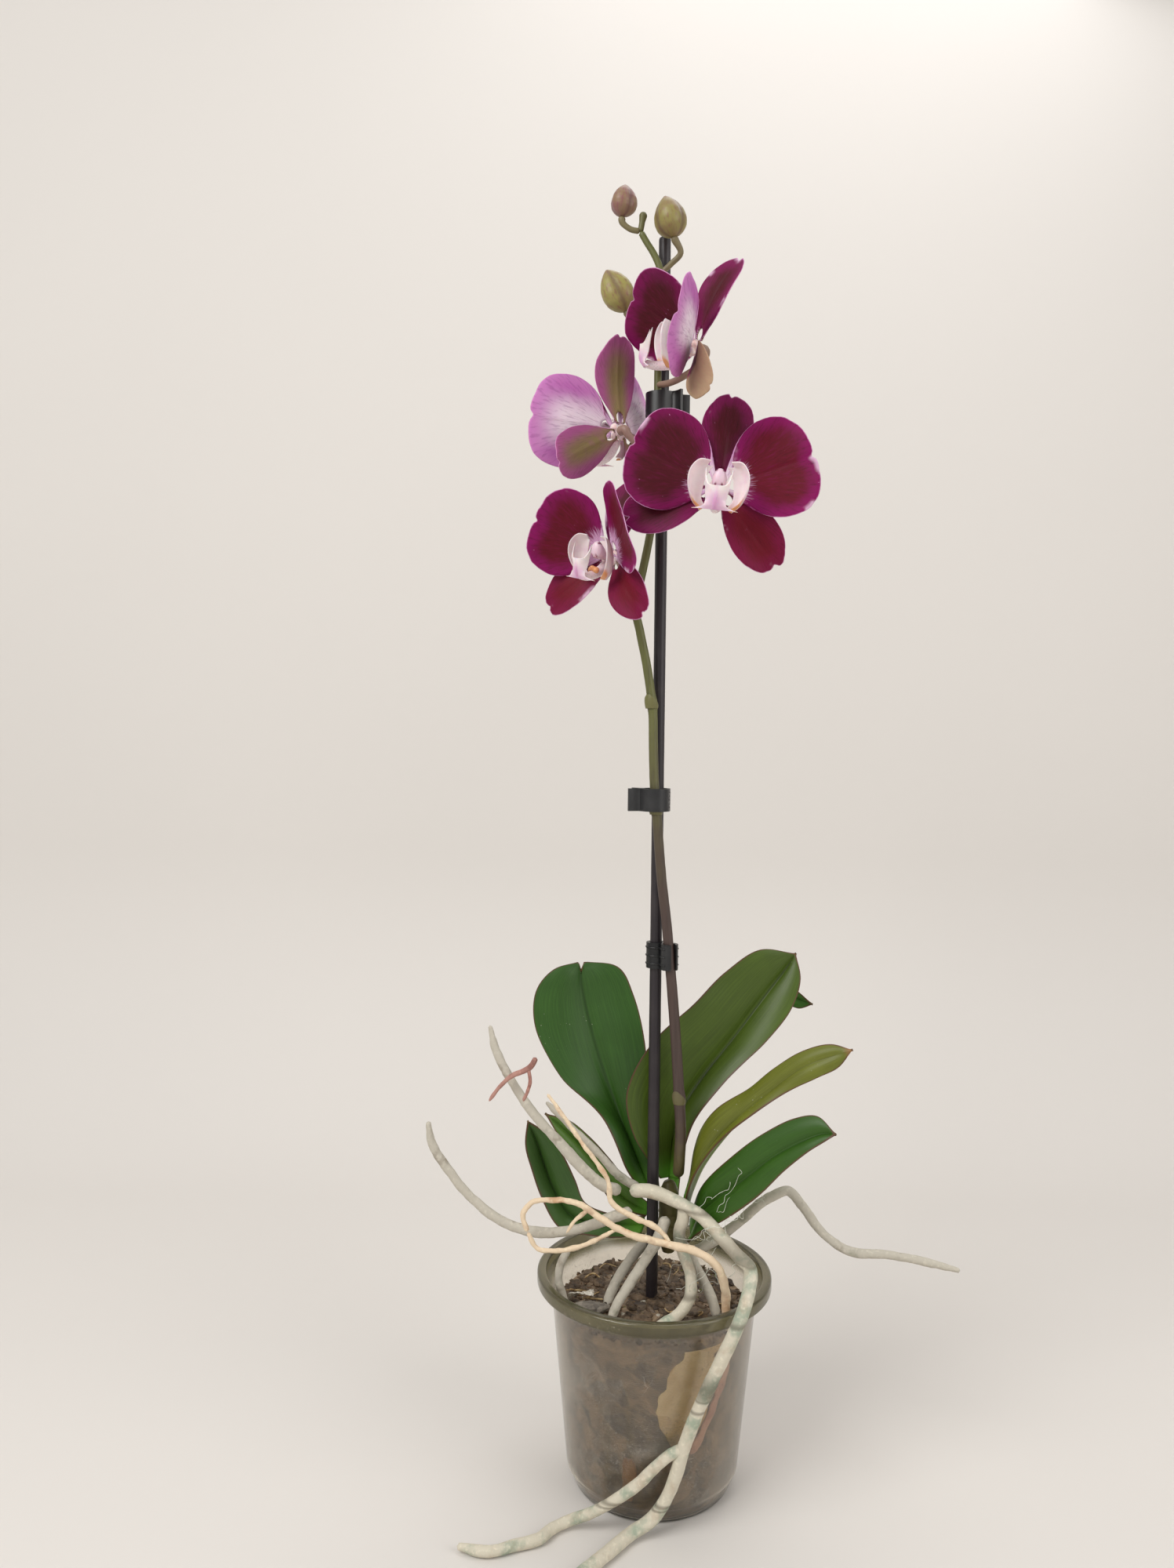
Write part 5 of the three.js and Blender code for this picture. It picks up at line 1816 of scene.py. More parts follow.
@dataclass
class Flower:
    """A moth orchid flower: three sepals, two petals, a lip and a column."""

    kind: str
    centre: tuple[float, float, float]
    faces: tuple[float, float, float]
    up: tuple[float, float, float]
    scale: float
    sepals: dict[str, tuple[float, float, float]]
    petals: dict[str, tuple[float, float, float]]
    stalk: Points
    sepal_skins: dict[str, TepalSkin]
    petal_skins: dict[str, TepalSkin]
    seed: float = 0.0
    column_sides: int = 32
    column_rings: int = 48

    def frame(self) -> Matrix:
        """Work out the flower's frame: x to the right, y to the dorsal sepal, z out of its front.

        Returns:
            The frame, in millimetres.
        """
        front = Vector(self.faces).normalized()
        right = Vector(self.up).cross(front).normalized()
        dorsal = front.cross(right)
        rows = [[right[k], dorsal[k], front[k], self.centre[k]] for k in range(3)]
        return Matrix([*rows, [0, 0, 0, 1]])

    def moved(self, points: Array) -> Array:
        """Move points from the flower's frame, scaled, into the plant's."""
        whole = np.array(self.frame())
        return (np.asarray(points) * self.scale) @ whole[:3, :3].T + whole[:3, 3]

    def side_lobe(self, side: Side) -> Piece:
        """Build a lip side lobe that stands up beside the column.

        Args:
            side: Which side it stands on.

        Returns:
            The lobe.
        """
        outer = [(-6.0, -12.4, 11), (-10.6, -9, 14.5), (-13.6, -2.5, 17.5), (-13.2, 3.6, 18.5),
            (-9.6, 8.4, 17.5), (-4.6, 8.8, 15.5)]
        inner = [(-4.6, -11.2, 9.4), (-7.2, -7.2, 9.0), (-7.0, -2, 9.4), (-6.3, 1.8, 10.6), (-5.0, 4.4, 12.2),
            (-3.4, 6.6, 14)]
        bulge = (-1.9, -0.3, -2.6)
        middle = [tuple((a + b) / 2 + d for a, b, d in zip(*ends, bulge)) for ends in zip(outer, inner)]
        u, v = np.linspace(0, 1, 44), np.linspace(0, 1, 21)[None, :, None]
        far, halfway, near = (curve_at(line, u)[:, None] for line in (outer, middle, inner))
        sheet = far * (1 - v) * (1 - 2 * v) + halfway * 4 * v * (1 - v) + near * v * (2 * v - 1)
        sheet[..., 0] *= -side.value
        if side is Side.LEFT:
            sheet = sheet[:, ::-1]
        shares = np.broadcast_to(u[:, None], sheet.shape[:2])
        rim = np.broadcast_to((1 - v[..., 0]) if side is Side.RIGHT else v[..., 0], sheet.shape[:2])
        warm = np.clip(1.3 - 3.4 * shares, 0, 1) * smoothstep(rim, 0.55, 0.95)
        marks = {"warm": 1.35 * warm, "pink": 0.16 + 0 * shares, "spots": 0 * shares}
        thickness = np.full(sheet.shape[:2], 0.8) * (0.5 + 0.5 * smoothstep(np.minimum(rim, 1 - rim), 0, 0.2))
        return closed_sheet(f"side_lobe_{side.name.lower()}", self.moved(sheet), thickness * self.scale,
            marks)

    def mid_lobe(self) -> Piece:
        """Build the anchor-shaped front lobe with its keel.

        Returns:
            The lobe.
        """
        u, v = np.linspace(0, 1, 56)[:, None], np.linspace(-1, 1, 41)[None, :]
        spine = [(0, -14.2, 21), (0, -12.4, 22.4), (0, -9.6, 23.8), (0, -6.6, 24.8), (0, -4.4, 25.4)]
        half = np.interp(u, [0, 0.05, 0.14, 0.25, 0.45, 0.7, 0.9, 1],
            [10.4, 8.6, 5.9, 4.9, 4.5, 5.2, 6.4, 6.9]) * v
        keel = np.exp(-((v / 0.12) ** 2))
        sheet = curve_at(spine, u[:, 0])[:, None, :] + np.stack([half, 0 * half, 0 * half], axis=2)
        sheet[..., 1] += 8.2 * np.abs(v) ** 4.5 * smoothstep(u, 0.55, 1)
        sheet[..., 0] -= np.sign(v) * 0.8 * np.abs(v) ** 6 * smoothstep(u, 0.8, 1)
        sheet[..., 2] -= 3.4 * v**2 * smoothstep(u, 0.1, 0.7) + 1.5 * (v**2 * np.exp(-((u / 0.15) ** 2)))
        sheet[..., 2] += 1.1 * keel * np.exp(-(((u - 0.35) / 0.3) ** 2))
        along, across = u + 0 * v, v + 0 * u
        pink = smoothstep(along, 0.95, 0.35) * (1 - 0.75 * across**2) + 0.3 * keel
        marks = {
            "warm": 0.7 * smoothstep(along, 0.1, 0.0) * smoothstep(np.abs(across), 0.5, 0.9),
            "pink": np.clip(pink, 0, 1.2),
            "spots": 0 * along,
        }
        thick = 0.9 * self.scale * (1 - 0.55 * np.abs(across) ** 3)
        return closed_sheet("mid_lobe", self.moved(sheet), thick, marks)

    def lip(self, shop: Workshop, skin: Material) -> None:
        """Build and dress the whole lip.

        Args:
            shop: The shared node trees.
            skin: Its material.
        """
        parts = [self.side_lobe(Side.LEFT), self.side_lobe(Side.RIGHT), self.mid_lobe()]
        neck = even_path([(0, -3.5, 1.5), (0, -7.5, 5), (0, -10.8, 10), (0, -12.6, 16), (0, -12.6, 21.6)],
            0.6)
        sizes = np.interp(np.linspace(0, 1, len(neck)), [0, 0.35, 0.7, 1], [2.4, 2.7, 2.3, 1.9]) * self.scale
        waist = shop.grow_tube("waist", self.moved(neck), sizes, skin, 18, 0.2, 300, 3)
        callus = blob("callus", [((-1.5, -8.4, 10.6), 1.9), ((1.5, -8.4, 10.6), 1.9), ((0, -7.6, 12), 1.5)],
            self.moved, self.scale)
        hub = blob("hub", [((0, 0, -0.4), 3.0), ((2.2, 1.6, 0), 2.4), ((-2.2, 1.6, 0), 2.4),
            ((2, -2, 0), 2.4), ((-2, -2, 0), 2.4)], self.moved, self.scale)
        for piece, warm, spots in ((hub, 0.62, 0), (callus, 1.1, 1), (waist, 0.45, 0.2)):
            set_marks(piece, {"warm": warm, "pink": 0.2, "spots": spots})
        lip = merge_pieces(f"{self.kind}_flower_lip_lobes", [*parts, callus, waist, hub])
        dress(lip, [f"{self.kind}_flower_lip"], material=skin)

    def column(self, skin: Material) -> None:
        """Build and dress the column with its anther cap.

        Args:
            skin: Its material.
        """
        rings = [(0.0, -1, 2.0, 2.0), (0.2, 1.5, 2.2, 2.3), (0.5, 4, 2.4, 2.8), (1.0, 7, 2.9, 3.7),
            (1.6, 9.5, 3.4, 4.6),
                 (1.9, 11.4, 3.2, 4.6), (2.3, 12.8, 2.4, 3.6), (2.6, 13.5, 1.2, 1.9), (2.7, 13.7, 0.02, 0.02)]
        dense = curve_at([(y, z, 0) for y, z, _, _ in rings], np.linspace(0, 1, self.column_rings))
        sizes = curve_at([(a, b, 0) for _, _, a, b in rings], np.linspace(0, 1, self.column_rings))
        vertices, sides = [], self.column_sides
        for (y, z, _), (wide, tall, _) in zip(dense, sizes):
            for k in range(sides):
                a = 2 * math.pi * k / sides
                low = math.exp(-(((a - 1.5 * math.pi) / 0.5) ** 2))
                hollow = 1 - 0.18 * low * min(1, max(0, (z - 3) / 6))
                x = max(wide, 0.02) * math.cos(a) * hollow
                vertices.append((x, y + max(tall, 0.02) * math.sin(a) * hollow, z))
        faces = ring_faces(self.column_rings, sides)
        faces += [tuple(range(sides))[::-1], tuple((self.column_rings - 1) * sides + k for k in range(sides))]
        column = tidy_mesh(new_object(f"{self.kind}_flower_column", self.moved(np.array(vertices)), faces))
        turn = np.array([math.cos(2 * math.pi * k / sides) for k in range(sides)] * self.column_rings)
        high = np.repeat(smoothstep(dense[:, 1], 4, 7) * smoothstep(dense[:, 1], 13.2, 12.4), sides)
        set_marks(column, {"warm": 0.0, "pink": 0.5, "spots": 0.0, "stripe": np.abs(turn) * 2.4 - 1.35,
            "lined": 0.9 * high})
        dress(column, material=skin)

    def build(self, shop: Workshop, lip_skin: Material) -> None:
        """Build and dress the whole flower.

        Args:
            shop: The shared node trees.
            lip_skin: The material of its lip and column.
        """
        frame_ = self.frame()
        groups = (("sepal", SEPAL, self.sepals, self.sepal_skins),
            ("petal", PETAL, self.petals, self.petal_skins))
        for slot, form, places, skins in groups:
            for k, (side, (angle, tilt, twist)) in enumerate(places.items()):
                name = f"{self.kind}_flower_{slot}_{side}"
                skin = skins.get(side, skins["all"])
                tepal = Tepal(name, form, self.scale, angle, tilt, twist,
                    self.seed + 1.7 * k + (9 if slot == "petal" else 0))
                tepal.build(frame_, material_of(skin), slot)
        self.lip(shop, lip_skin)
        self.column(lip_skin)


# ---- Spike, buds and roots ----


@dataclass
class Spike:
    """The flower spike: stem, nodes with their bracts, and every stalk."""

    path: Points
    nodes: tuple[tuple[float, float, float], ...]
    tip: Points
    radius: float = 2.6
    pedicel: float = 1.5

    def stem(self, shop: Workshop, skin: Material) -> Piece:
        """Grow the stem with a swelling at each node.

        Args:
            shop: The shared node trees.
            skin: Its material.

        Returns:
            The stem.
        """
        line = even_path(self.path, 1.2)
        t = np.linspace(0, 1, len(line))
        sizes = self.radius * (1.12 - 0.5 * t)
        for node in self.nodes:
            gap = np.linalg.norm(line - np.asarray(node), axis=1)
            sizes = sizes + 0.55 * np.exp(-((gap / 3.2) ** 2))
        stem = shop.grow_tube("stem", line, sizes, skin, 28, 0.12, 160, 2)
        set_marks(stem, {"stalk": 0.0, "bract": 0.0})
        return stem

    def bract(self, node: Sequence[float], number: int) -> Piece:
        """Build the small dry scale that clasps a node.

        Args:
            node: Where the node is.
            number: Which node it is.

        Returns:
            The scale.
        """
        u, v = np.meshgrid(np.linspace(0, 1, 26), np.linspace(-1, 1, 19), indexing="ij")
        angle = v * (2.0 - 1.75 * u**1.5) + (-1.2 if number % 2 else -2.2)
        reach = 2.95 + 0.9 * np.sin(np.pi * u) * 0.5 + 0.3 * u
        sheet = np.stack([node[0] + reach * np.cos(angle), node[1] + reach * np.sin(angle),
            node[2] - 2.5 + 7 * u], axis=2)
        return closed_sheet(f"bract_{number}", sheet, np.full(u.shape, 0.35),
            {"stalk": 0 * u, "bract": 1 - 0.3 * u})

    def build(self, shop: Workshop, flowers: Sequence[Flower], buds: Sequence["Bud"]) -> None:
        """Build the spike and every stalk on it, as one piece.

        Args:
            shop: The shared node trees.
            flowers: The flowers it carries.
            buds: The buds it carries.
        """
        skin = StemSkin().make()
        parts = [self.stem(shop, skin)]
        parts += [self.bract(node, k) for k, node in enumerate(self.nodes)]
        for flower in flowers:
            neck = flower.moved(np.array([[0, 0, -6], [0, 0, -1.5], [0, 0.2, 0.5]]) / flower.scale)
            line = even_path([*flower.stalk, *neck], 0.9)
            t = np.linspace(0, 1, len(line))
            stalk = shop.grow_tube("stalk", line, self.pedicel + 0.1 + 0.85 * smoothstep(t, 0.5, 1), skin, 20,
                0.1, 200, 3)
            set_marks(stalk, {"stalk": 1.0, "bract": 0.0})
            parts.append(stalk)
        for bud in buds:
            line = even_path([*bud.stalk, bud.base,
                tuple(np.asarray(bud.base) + 0.08 * (np.asarray(bud.tip) - np.asarray(bud.base)))], 0.7)
            sizes = self.pedicel * (0.95 + 0.35 * smoothstep(np.linspace(0, 1, len(line)), 0.6, 1))
            stalk = shop.grow_tube("bud_stalk", line, sizes, skin, 18, 0.08, 200, 4)
            set_marks(stalk, {"stalk": 0.35, "bract": 0.0})
            parts.append(stalk)
        line = even_path(self.tip, 0.5)
        tip = shop.grow_tube("tip", line,
            np.interp(np.linspace(0, 1, len(line)), [0, 0.5, 0.8, 1], [1.4, 1.5, 2.0, 1.3]), skin, 18)
        set_marks(tip, {"stalk": 0.1, "bract": 0.0})
        parts.append(tip)
        dress(merge_pieces("orchid_spike", parts), ["flower_spike"], material=skin)


@dataclass
class Bud:
    """A closed bud: three sepals that meet along seams and come to a soft point."""

    node: str
    base: tuple[float, float, float]
    tip: tuple[float, float, float]
    radius: float
    stalk: Points
    skin: BudSkin
    turn: float = 0.0
    sides: int = 60

    def build(self) -> None:
        """Build and dress the bud."""
        axis = np.asarray(self.tip, float) - np.asarray(self.base)
        length = float(np.linalg.norm(axis))
        along = np.linspace(0, 1, 46)
        table = [(0, 0.0), (0.03, 0.3), (0.1, 0.6), (0.24, 0.9), (0.42, 1.0), (0.6, 0.93), (0.78, 0.68),
            (0.91, 0.36), (0.975, 0.14), (1, 0.0)]
        width = np.interp(along, *zip(*table))
        width = np.convolve(np.pad(width, 2, mode="edge"), np.ones(5) / 5, mode="valid")
        width *= (along > 0) * (along < 1)
        vertices, turns, seams, shares = [], [], [], []
        for t, w in zip(along, width):
            for k in range(self.sides):
                a = 2 * math.pi * k / self.sides
                seam = abs(math.cos(1.5 * (a + self.turn))) ** 14
                bulge = 1 + 0.05 * math.cos(3 * (a + self.turn) + math.pi)
                reach = w * self.radius * (bulge - 0.07 * seam * math.sin(math.pi * t) ** 0.5)
                vertices.append((reach * math.cos(a), reach * math.sin(a), 0.7 + t * (length - 0.2)))
                turns.append(k / self.sides)
                seams.append(seam)
                shares.append(t)
        whole = np.array(Matrix.Translation(self.base)
            @ Vector(axis).to_track_quat("Z", "Y").to_matrix().to_4x4())
        placed = np.array(vertices) @ whole[:3, :3].T + whole[:3, 3]
        bud = tidy_mesh(new_object(self.node + "_closed", placed, ring_faces(len(along), self.sides),
            {"turn": turns, "seam": seams, "along": shares}))
        dress(bud, [self.node], material=self.skin.make())


@dataclass
class Root:
    """An aerial root: one or more tapering lines with lumpy spongy skin."""

    node: str
    lines: tuple[tuple[Points, float, float], ...]
    slot: str
    uneven: float = 0.5
    taper: float = 0.4
    grain: float = 210
    step: float = 0.9
    sides: int = 26
    seed: float = 1.0

    def build(self, shop: Workshop, skin: Material) -> None:
        """Build and dress the root.

        Args:
            shop: The shared node trees.
            skin: Its material.
        """
        parts = []
        for k, (points, thick, thin) in enumerate(self.lines):
            line = even_path(points, self.step)
            t = np.linspace(0, 1, len(line))
            swell = np.array([noise.noise(Vector((s * len(line) * 0.045, self.seed + k, 0))) for s in t])
            sizes = (thick + (thin - thick) * t) * (1 + 0.12 * swell)
            sizes = sizes * (1 - self.taper * smoothstep(t, 0.9, 1))
            parts.append(shop.grow_tube("line", line, sizes, skin, self.sides, self.uneven, self.grain,
                self.seed + k))
        dress(merge_pieces(self.node + "_skin", parts), [self.node], material=skin)


# ---- The plant's own tables ----


LEAVES = (
    Leaf(
        "leaf_upper_left",
        left=[(-3, 10, 140), (-14, 7, 156), (-26, 8, 182), (-49, 13, 203), (-63, 19, 228), (-63, 23, 246),
              (-54, 26, 257)],
        mid=[(0, 15, 138), (-6, 16, 152), (-14, 17, 171), (-20, 19, 187), (-29, 23, 211), (-36, 27, 235),
             (-39, 29, 251)],
        right=[(4, 17, 140), (2, 14, 154), (-2, 13, 173), (-3, 14, 193), (-5, 19, 220), (-11, 25, 244),
               (-19, 29, 258)],
        tip=(-39, 30, 261), skin=LeafSkin("leaf_skin_dark", rgb(48, 84, 26)), notch=5.5,
    ),
    Leaf(
        "leaf_upper_right",
        left=[(3.4, 7, 152), (-2, 6.5, 160), (-11, 5.5, 175), (-15, 5, 197), (-3, 6.5, 222), (18, 11, 241),
              (37, 16, 259), (55, 20, 270)],
        mid=[(8, 10, 152), (9, 12, 160), (11, 14, 174), (15, 14, 186), (25, 16, 202), (42, 20, 223),
             (59, 24, 245), (70, 26, 259)],
        right=[(13, 7, 152), (14, 5, 160), (16, 4, 172), (21, 3, 185), (36, 5, 204), (56, 9, 222),
               (71, 15, 239), (77, 21, 254)],
        tip=(75, 26, 267), skin=LeafSkin("leaf_skin_mid", rgb(70, 90, 24)),
    ),
    Leaf(
        "leaf_middle_right",
        left=[(16, 10, 142), (19, 5, 156), (22, 1, 176), (30, -7, 193), (46, -13, 206), (57, -20, 218),
              (70, -28, 229), (82, -34, 234)],
        mid=[(17, 4, 139), (19, -1, 150), (23, -6, 163), (32, -12, 179), (43, -19, 195), (56, -25, 209),
             (69, -32, 222), (82, -37, 229)],
        right=[(14, -3, 138), (16, -9, 150), (19, -13, 161), (28, -20, 178), (42, -27, 194), (59, -31, 208),
               (75, -36, 218), (85, -38, 224)],
        tip=(91, -40, 233),
        skin=LeafSkin("leaf_skin_old", rgb(104, 110, 34), tip=rgb(150, 110, 70), tip_from=0.93),
    ),
    Leaf(
        "leaf_lower_right",
        left=[(19, 8, 130), (21, 1, 142), (25, -8, 156), (36, -18, 172), (51, -28, 188), (65, -35, 198),
              (75, -41, 201)],
        mid=[(20, 1, 125), (23, -5, 137), (29, -13, 148), (42, -24, 163), (55, -33, 178), (67, -40, 188),
             (77, -45, 194)],
        right=[(17, -6, 124), (22, -13, 132), (33, -22, 142), (47, -34, 158), (59, -41, 174), (69, -46, 185),
               (77, -48, 191)],
        tip=(82, -49, 195), skin=LeafSkin("leaf_skin_fresh", rgb(50, 88, 20)),
    ),
    Leaf(
        "leaf_lower_left",
        left=[(-6, 14, 120), (-16, 13, 118), (-34, 13, 119), (-49, 16, 121), (-59, 21, 136), (-65, 25, 150),
              (-68, 27, 162)],
        mid=[(-4, 18, 123), (-15, 18, 123), (-30, 19, 123), (-43, 24, 125), (-52, 29, 136), (-58, 33, 149),
             (-62, 33, 161)],
        right=[(-4, 17, 128), (-15, 17, 128), (-27, 18, 130), (-36, 21, 134), (-41, 25, 144), (-47, 29, 155),
               (-55, 31, 166)],
        tip=(-67, 30, 174), skin=LeafSkin("leaf_skin_shade", rgb(58, 88, 36)),
    ),
    Leaf(
        "leaf_small_left",
        left=[(-4, 7, 132), (-12, 4.5, 135), (-21, 5, 139), (-30, 6, 151), (-40, 6, 163), (-50, 7, 174)],
        mid=[(-3, 11, 133), (-11, 10, 137), (-19, 10, 143), (-28, 11, 155), (-38, 11, 167), (-48, 10, 177)],
        right=[(-2, 12, 137), (-9, 11, 143), (-15, 10, 151), (-23, 10, 161), (-34, 10, 173), (-44, 10, 181)],
        tip=(-57, 9, 185), skin=LeafSkin("leaf_skin_small", rgb(78, 112, 40)),
    ),
    Leaf(
        "leaf_rear_right",
        left=[(7.5, 17.5, 136), (9, 20, 153), (12, 24, 174), (17, 30, 196), (31, 36, 216), (49, 40, 234),
              (66, 40, 248), (77, 38, 245)],
        mid=[(10, 18, 134), (12, 21, 152), (15, 25, 172), (22, 32, 192), (36, 38, 211), (53, 41, 228),
             (68, 42, 242), (78, 39, 240)],
        right=[(13, 17, 133), (15, 20, 151), (18, 24, 170), (26, 30, 188), (40, 36, 206), (57, 40, 222),
               (70, 41, 236), (80, 37, 235)],
        # The rear leaf's green is painted lighter: painted light on a leaf that faces away from the lamps.
        tip=(86, 34, 238), skin=LeafSkin("leaf_skin_rear_painted_lit", rgb(70, 116, 44)),
    ),
)
DARK = TepalSkin("petal_dark", blush_reach=12.5)
# A copy of the petal finish with a lighter heart and rim: painted light on the petals it dresses.
PETAL_PAINTED_LIT = TepalSkin("petal_painted_lit", blush_reach=13.0, heart=rgb(98, 3, 30), rim=rgb(132, 6, 88))
DEEP = TepalSkin(
    "sepal_dark", back=rgb(150, 100, 112), back_heart=rgb(140, 122, 80), back_rim=rgb(172, 88, 142),
    blush_reach=4.0,
)
# A copy of the sepal finish with a lighter heart: painted light on the sepals it dresses.
SEPAL_PAINTED_LIT = TepalSkin(
    "sepal_painted_lit", heart=rgb(104, 3, 28), rim=rgb(116, 4, 56), back=rgb(150, 100, 112),
    back_heart=rgb(140, 115, 75), back_rim=rgb(158, 86, 122), blush_reach=4.0,
)
TANNED = TepalSkin(
    "sepal_tanned", far=rgb(178, 162, 122), margin=rgb(172, 128, 112), back=rgb(182, 166, 126),
    back_heart=rgb(196, 184, 142), back_rim=rgb(176, 124, 96), blush_reach=4.0,
)
FLOWERS = (
    Flower(
        "front", centre=(23, -44, 497), faces=(-0.12, -0.98, 0.02), up=(0.12, 0, 1), scale=1,
        sepals={"dorsal": (90, -8, 0), "left": (203, -1, 0), "right": (-46, -8, 0)},
        petals={"left": (160, 10, 0), "right": (25, 3, 0)},
        stalk=[(-5.5, -6, 501), (-1, -13, 497), (7, -24, 491), (16, -34, 492)],
        # The right sepal wears the sepal finish with painted light.
        sepal_skins={"all": SEPAL_PAINTED_LIT, "left": DEEP, "dorsal": DEEP},
        # The right petal wears the petal finish with painted light.
        petal_skins={"all": DARK, "right": PETAL_PAINTED_LIT}, seed=1,
    ),
    Flower(
        "lower", centre=(-27.3, -30, 467), faces=(-0.66, -0.75, 0.03), up=(0.28, 0, 1), scale=0.9,
        sepals={"dorsal": (90, -16, 0), "left": (227, 13, 0), "right": (-36, 12, 0)},
        petals={"left": (161, 36, 0), "right": (37, 41, 0)},
        stalk=[(-13.5, -6, 447), (-16, -8, 451), (-19, -13, 457), (-21, -19, 463)],
        # Both petals and the side sepals wear the finishes with painted light.
        sepal_skins={"all": SEPAL_PAINTED_LIT, "dorsal": DEEP}, petal_skins={"all": PETAL_PAINTED_LIT}, seed=3.3,
    ),
    Flower(
        "upper", centre=(9.5, -46, 561), faces=(-0.97, -0.1, 0.2), up=(0.42, -0.2, 0.9), scale=0.93,
        sepals={"dorsal": (90, -14, 30), "left": (180, 3, 0), "right": (-24, -8, 0)},
        petals={"left": (144, 50, 0), "right": (13, 21, 0)},
        stalk=[(-4, -8, 555), (1.5, -17, 553.5), (7.5, -28, 553.5), (14, -38, 556)],
        sepal_skins={"all": DEEP, "right": TANNED}, petal_skins={"all": DARK}, seed=5.6,
    ),
    Flower(
        "rear", centre=(-23.5, -14, 530.5), faces=(-0.55, 0.83, 0.06), up=(-0.1, 0, 1), scale=0.97,
        sepals={"dorsal": (90, -2, 0), "left": (216, 10, 0), "right": (-24, -8, 0)},
        petals={"left": (150, 30, 0), "right": (11, 22, 0)},
        stalk=[(-7, -6, 518), (-9, -12, 519), (-14, -18, 523), (-19, -19, 528)], sepal_skins={"all": DEEP},
        petal_skins={"all": DARK}, seed=7.9,
    ),
)
BUDS = (
    Bud(
        "bud_terminal_left", base=(-22.8, -8, 635.5), tip=(-21.2, -8, 651.5), radius=6.6,
        stalk=[(-13.6, -8, 629.5), (-18.5, -8, 630.5), (-22.4, -8, 633.5)],
        skin=BudSkin("bud_skin_brown", rgb(138, 112, 84), rgb(134, 84, 88), 0.9), turn=0.4,
    ),
    Bud(
        "bud_terminal_right", base=(3, -13.5, 623.5), tip=(-2, -13.5, 643.8), radius=8,
        stalk=[(-3, -8, 609.5), (1.5, -10, 613), (6, -12.5, 617.5)],
        skin=BudSkin("bud_skin_olive", rgb(142, 132, 74), rgb(128, 84, 72), 0.55), turn=1.2,
    ),
    Bud(
        "bud_left", base=(-19.6, -6, 590.5), tip=(-30, -6, 611), radius=8,
        stalk=[(-4, -7.7, 578), (-9, -8, 580), (-15, -7, 584)],
        skin=BudSkin("bud_skin_green", rgb(150, 142, 78), rgb(130, 80, 74), 0.6), turn=2.1,
    ),
)
SPIKE = Spike(
    path=[(12, 0.5, 156), (12.2, -4, 168), (12.4, -5.5, 182), (11.4, -6, 199), (9.4, -6, 227), (6.6, -6, 259),
          (4, -6.2, 286), (1, -6.8, 310), (-1.5, -7.6, 338), (-3.3, -7.4, 358), (-4, -7, 377),
          (-4.6, -6.6, 395), (-7.6, -6, 416), (-11.4, -6, 434), (-14, -6, 447), (-11, -6, 461),
          (-8.2, -6.2, 475), (-5.8, -6.6, 490), (-5.2, -7, 514), (-4.7, -7.2, 529), (-4.2, -7.4, 544),
          (-4, -7.6, 571), (-3.2, -7.8, 590), (-3.2, -8, 609), (-6, -8, 617), (-10.6, -8, 624.5),
          (-13.6, -8, 629.5)],
    nodes=((11.5, -6, 198), (-2.3, -7.5, 345), (-5, -6.6, 398)),
    tip=[(-13.6, -8, 629), (-12.8, -8, 634), (-12, -8, 639)],
)
GREY_ROOTS = tuple(Root(name, ((points, thick, thin),), "root") for name, thick, thin, points in (
    ("root_left_long", 2.7, 2.2, [
        (-12, -13, 143), (-23, -15, 140), (-40, -15, 134), (-58, -12, 131), (-76, -8, 134), (-92, -5, 144),
        (-106, -4, 160), (-114, -4, 173), (-116, -5, 185)]),
    ("root_left_upper", 3, 1.9, [
        (-18, -14, 153.5), (-27, -17, 157.5), (-36, -18, 165), (-50, -17, 180), (-62, -16, 193),
        (-74, -14, 210), (-81, -12, 223), (-84.5, -11, 236)]),
    ("root_left_rear", 2.4, 1.5, [
        (-8, -1.5, 150), (-18, -4, 157), (-30, -8, 171), (-43, -10, 184), (-50, -12, 192), (-56, -13, 198)]),
    ("root_right_long", 2.7, 2, [
        (19, -1, 116), (30, -4, 124), (44, -6, 136), (54, -8, 146), (62, -9, 151), (67, -9, 152.5),
        (74, -9, 145), (85, -10, 131), (99, -10, 122), (116, -12, 121.5), (136, -12, 118),
        (154, -12, 113.5)]),
    ("root_strut_left", 2.9, 2.4, [
        (5.5, -9.5, 139), (2, -12, 130), (-4, -15, 121), (-13, -20, 109), (-20, -24, 99), (-23, -26, 91)]),
    ("root_strut_rear", 2.8, 2.4, [
        (0.6, 10.2, 121.6), (-6, 8, 116), (-14, 3, 108), (-21, -4, 99), (-25, -9, 91)]),
    ("root_strut_right", 2.9, 2.4, [
        (13, -2.5, 124), (17, -8, 119), (23, -14, 110), (28, -18, 101), (31, -20, 91)]),
    ("root_rim_left", 2, 2, [
        (-44, -8, 121), (-48, -12, 114), (-48.5, -13, 106), (-46, -13, 98), (-44, -13, 90)]),
))

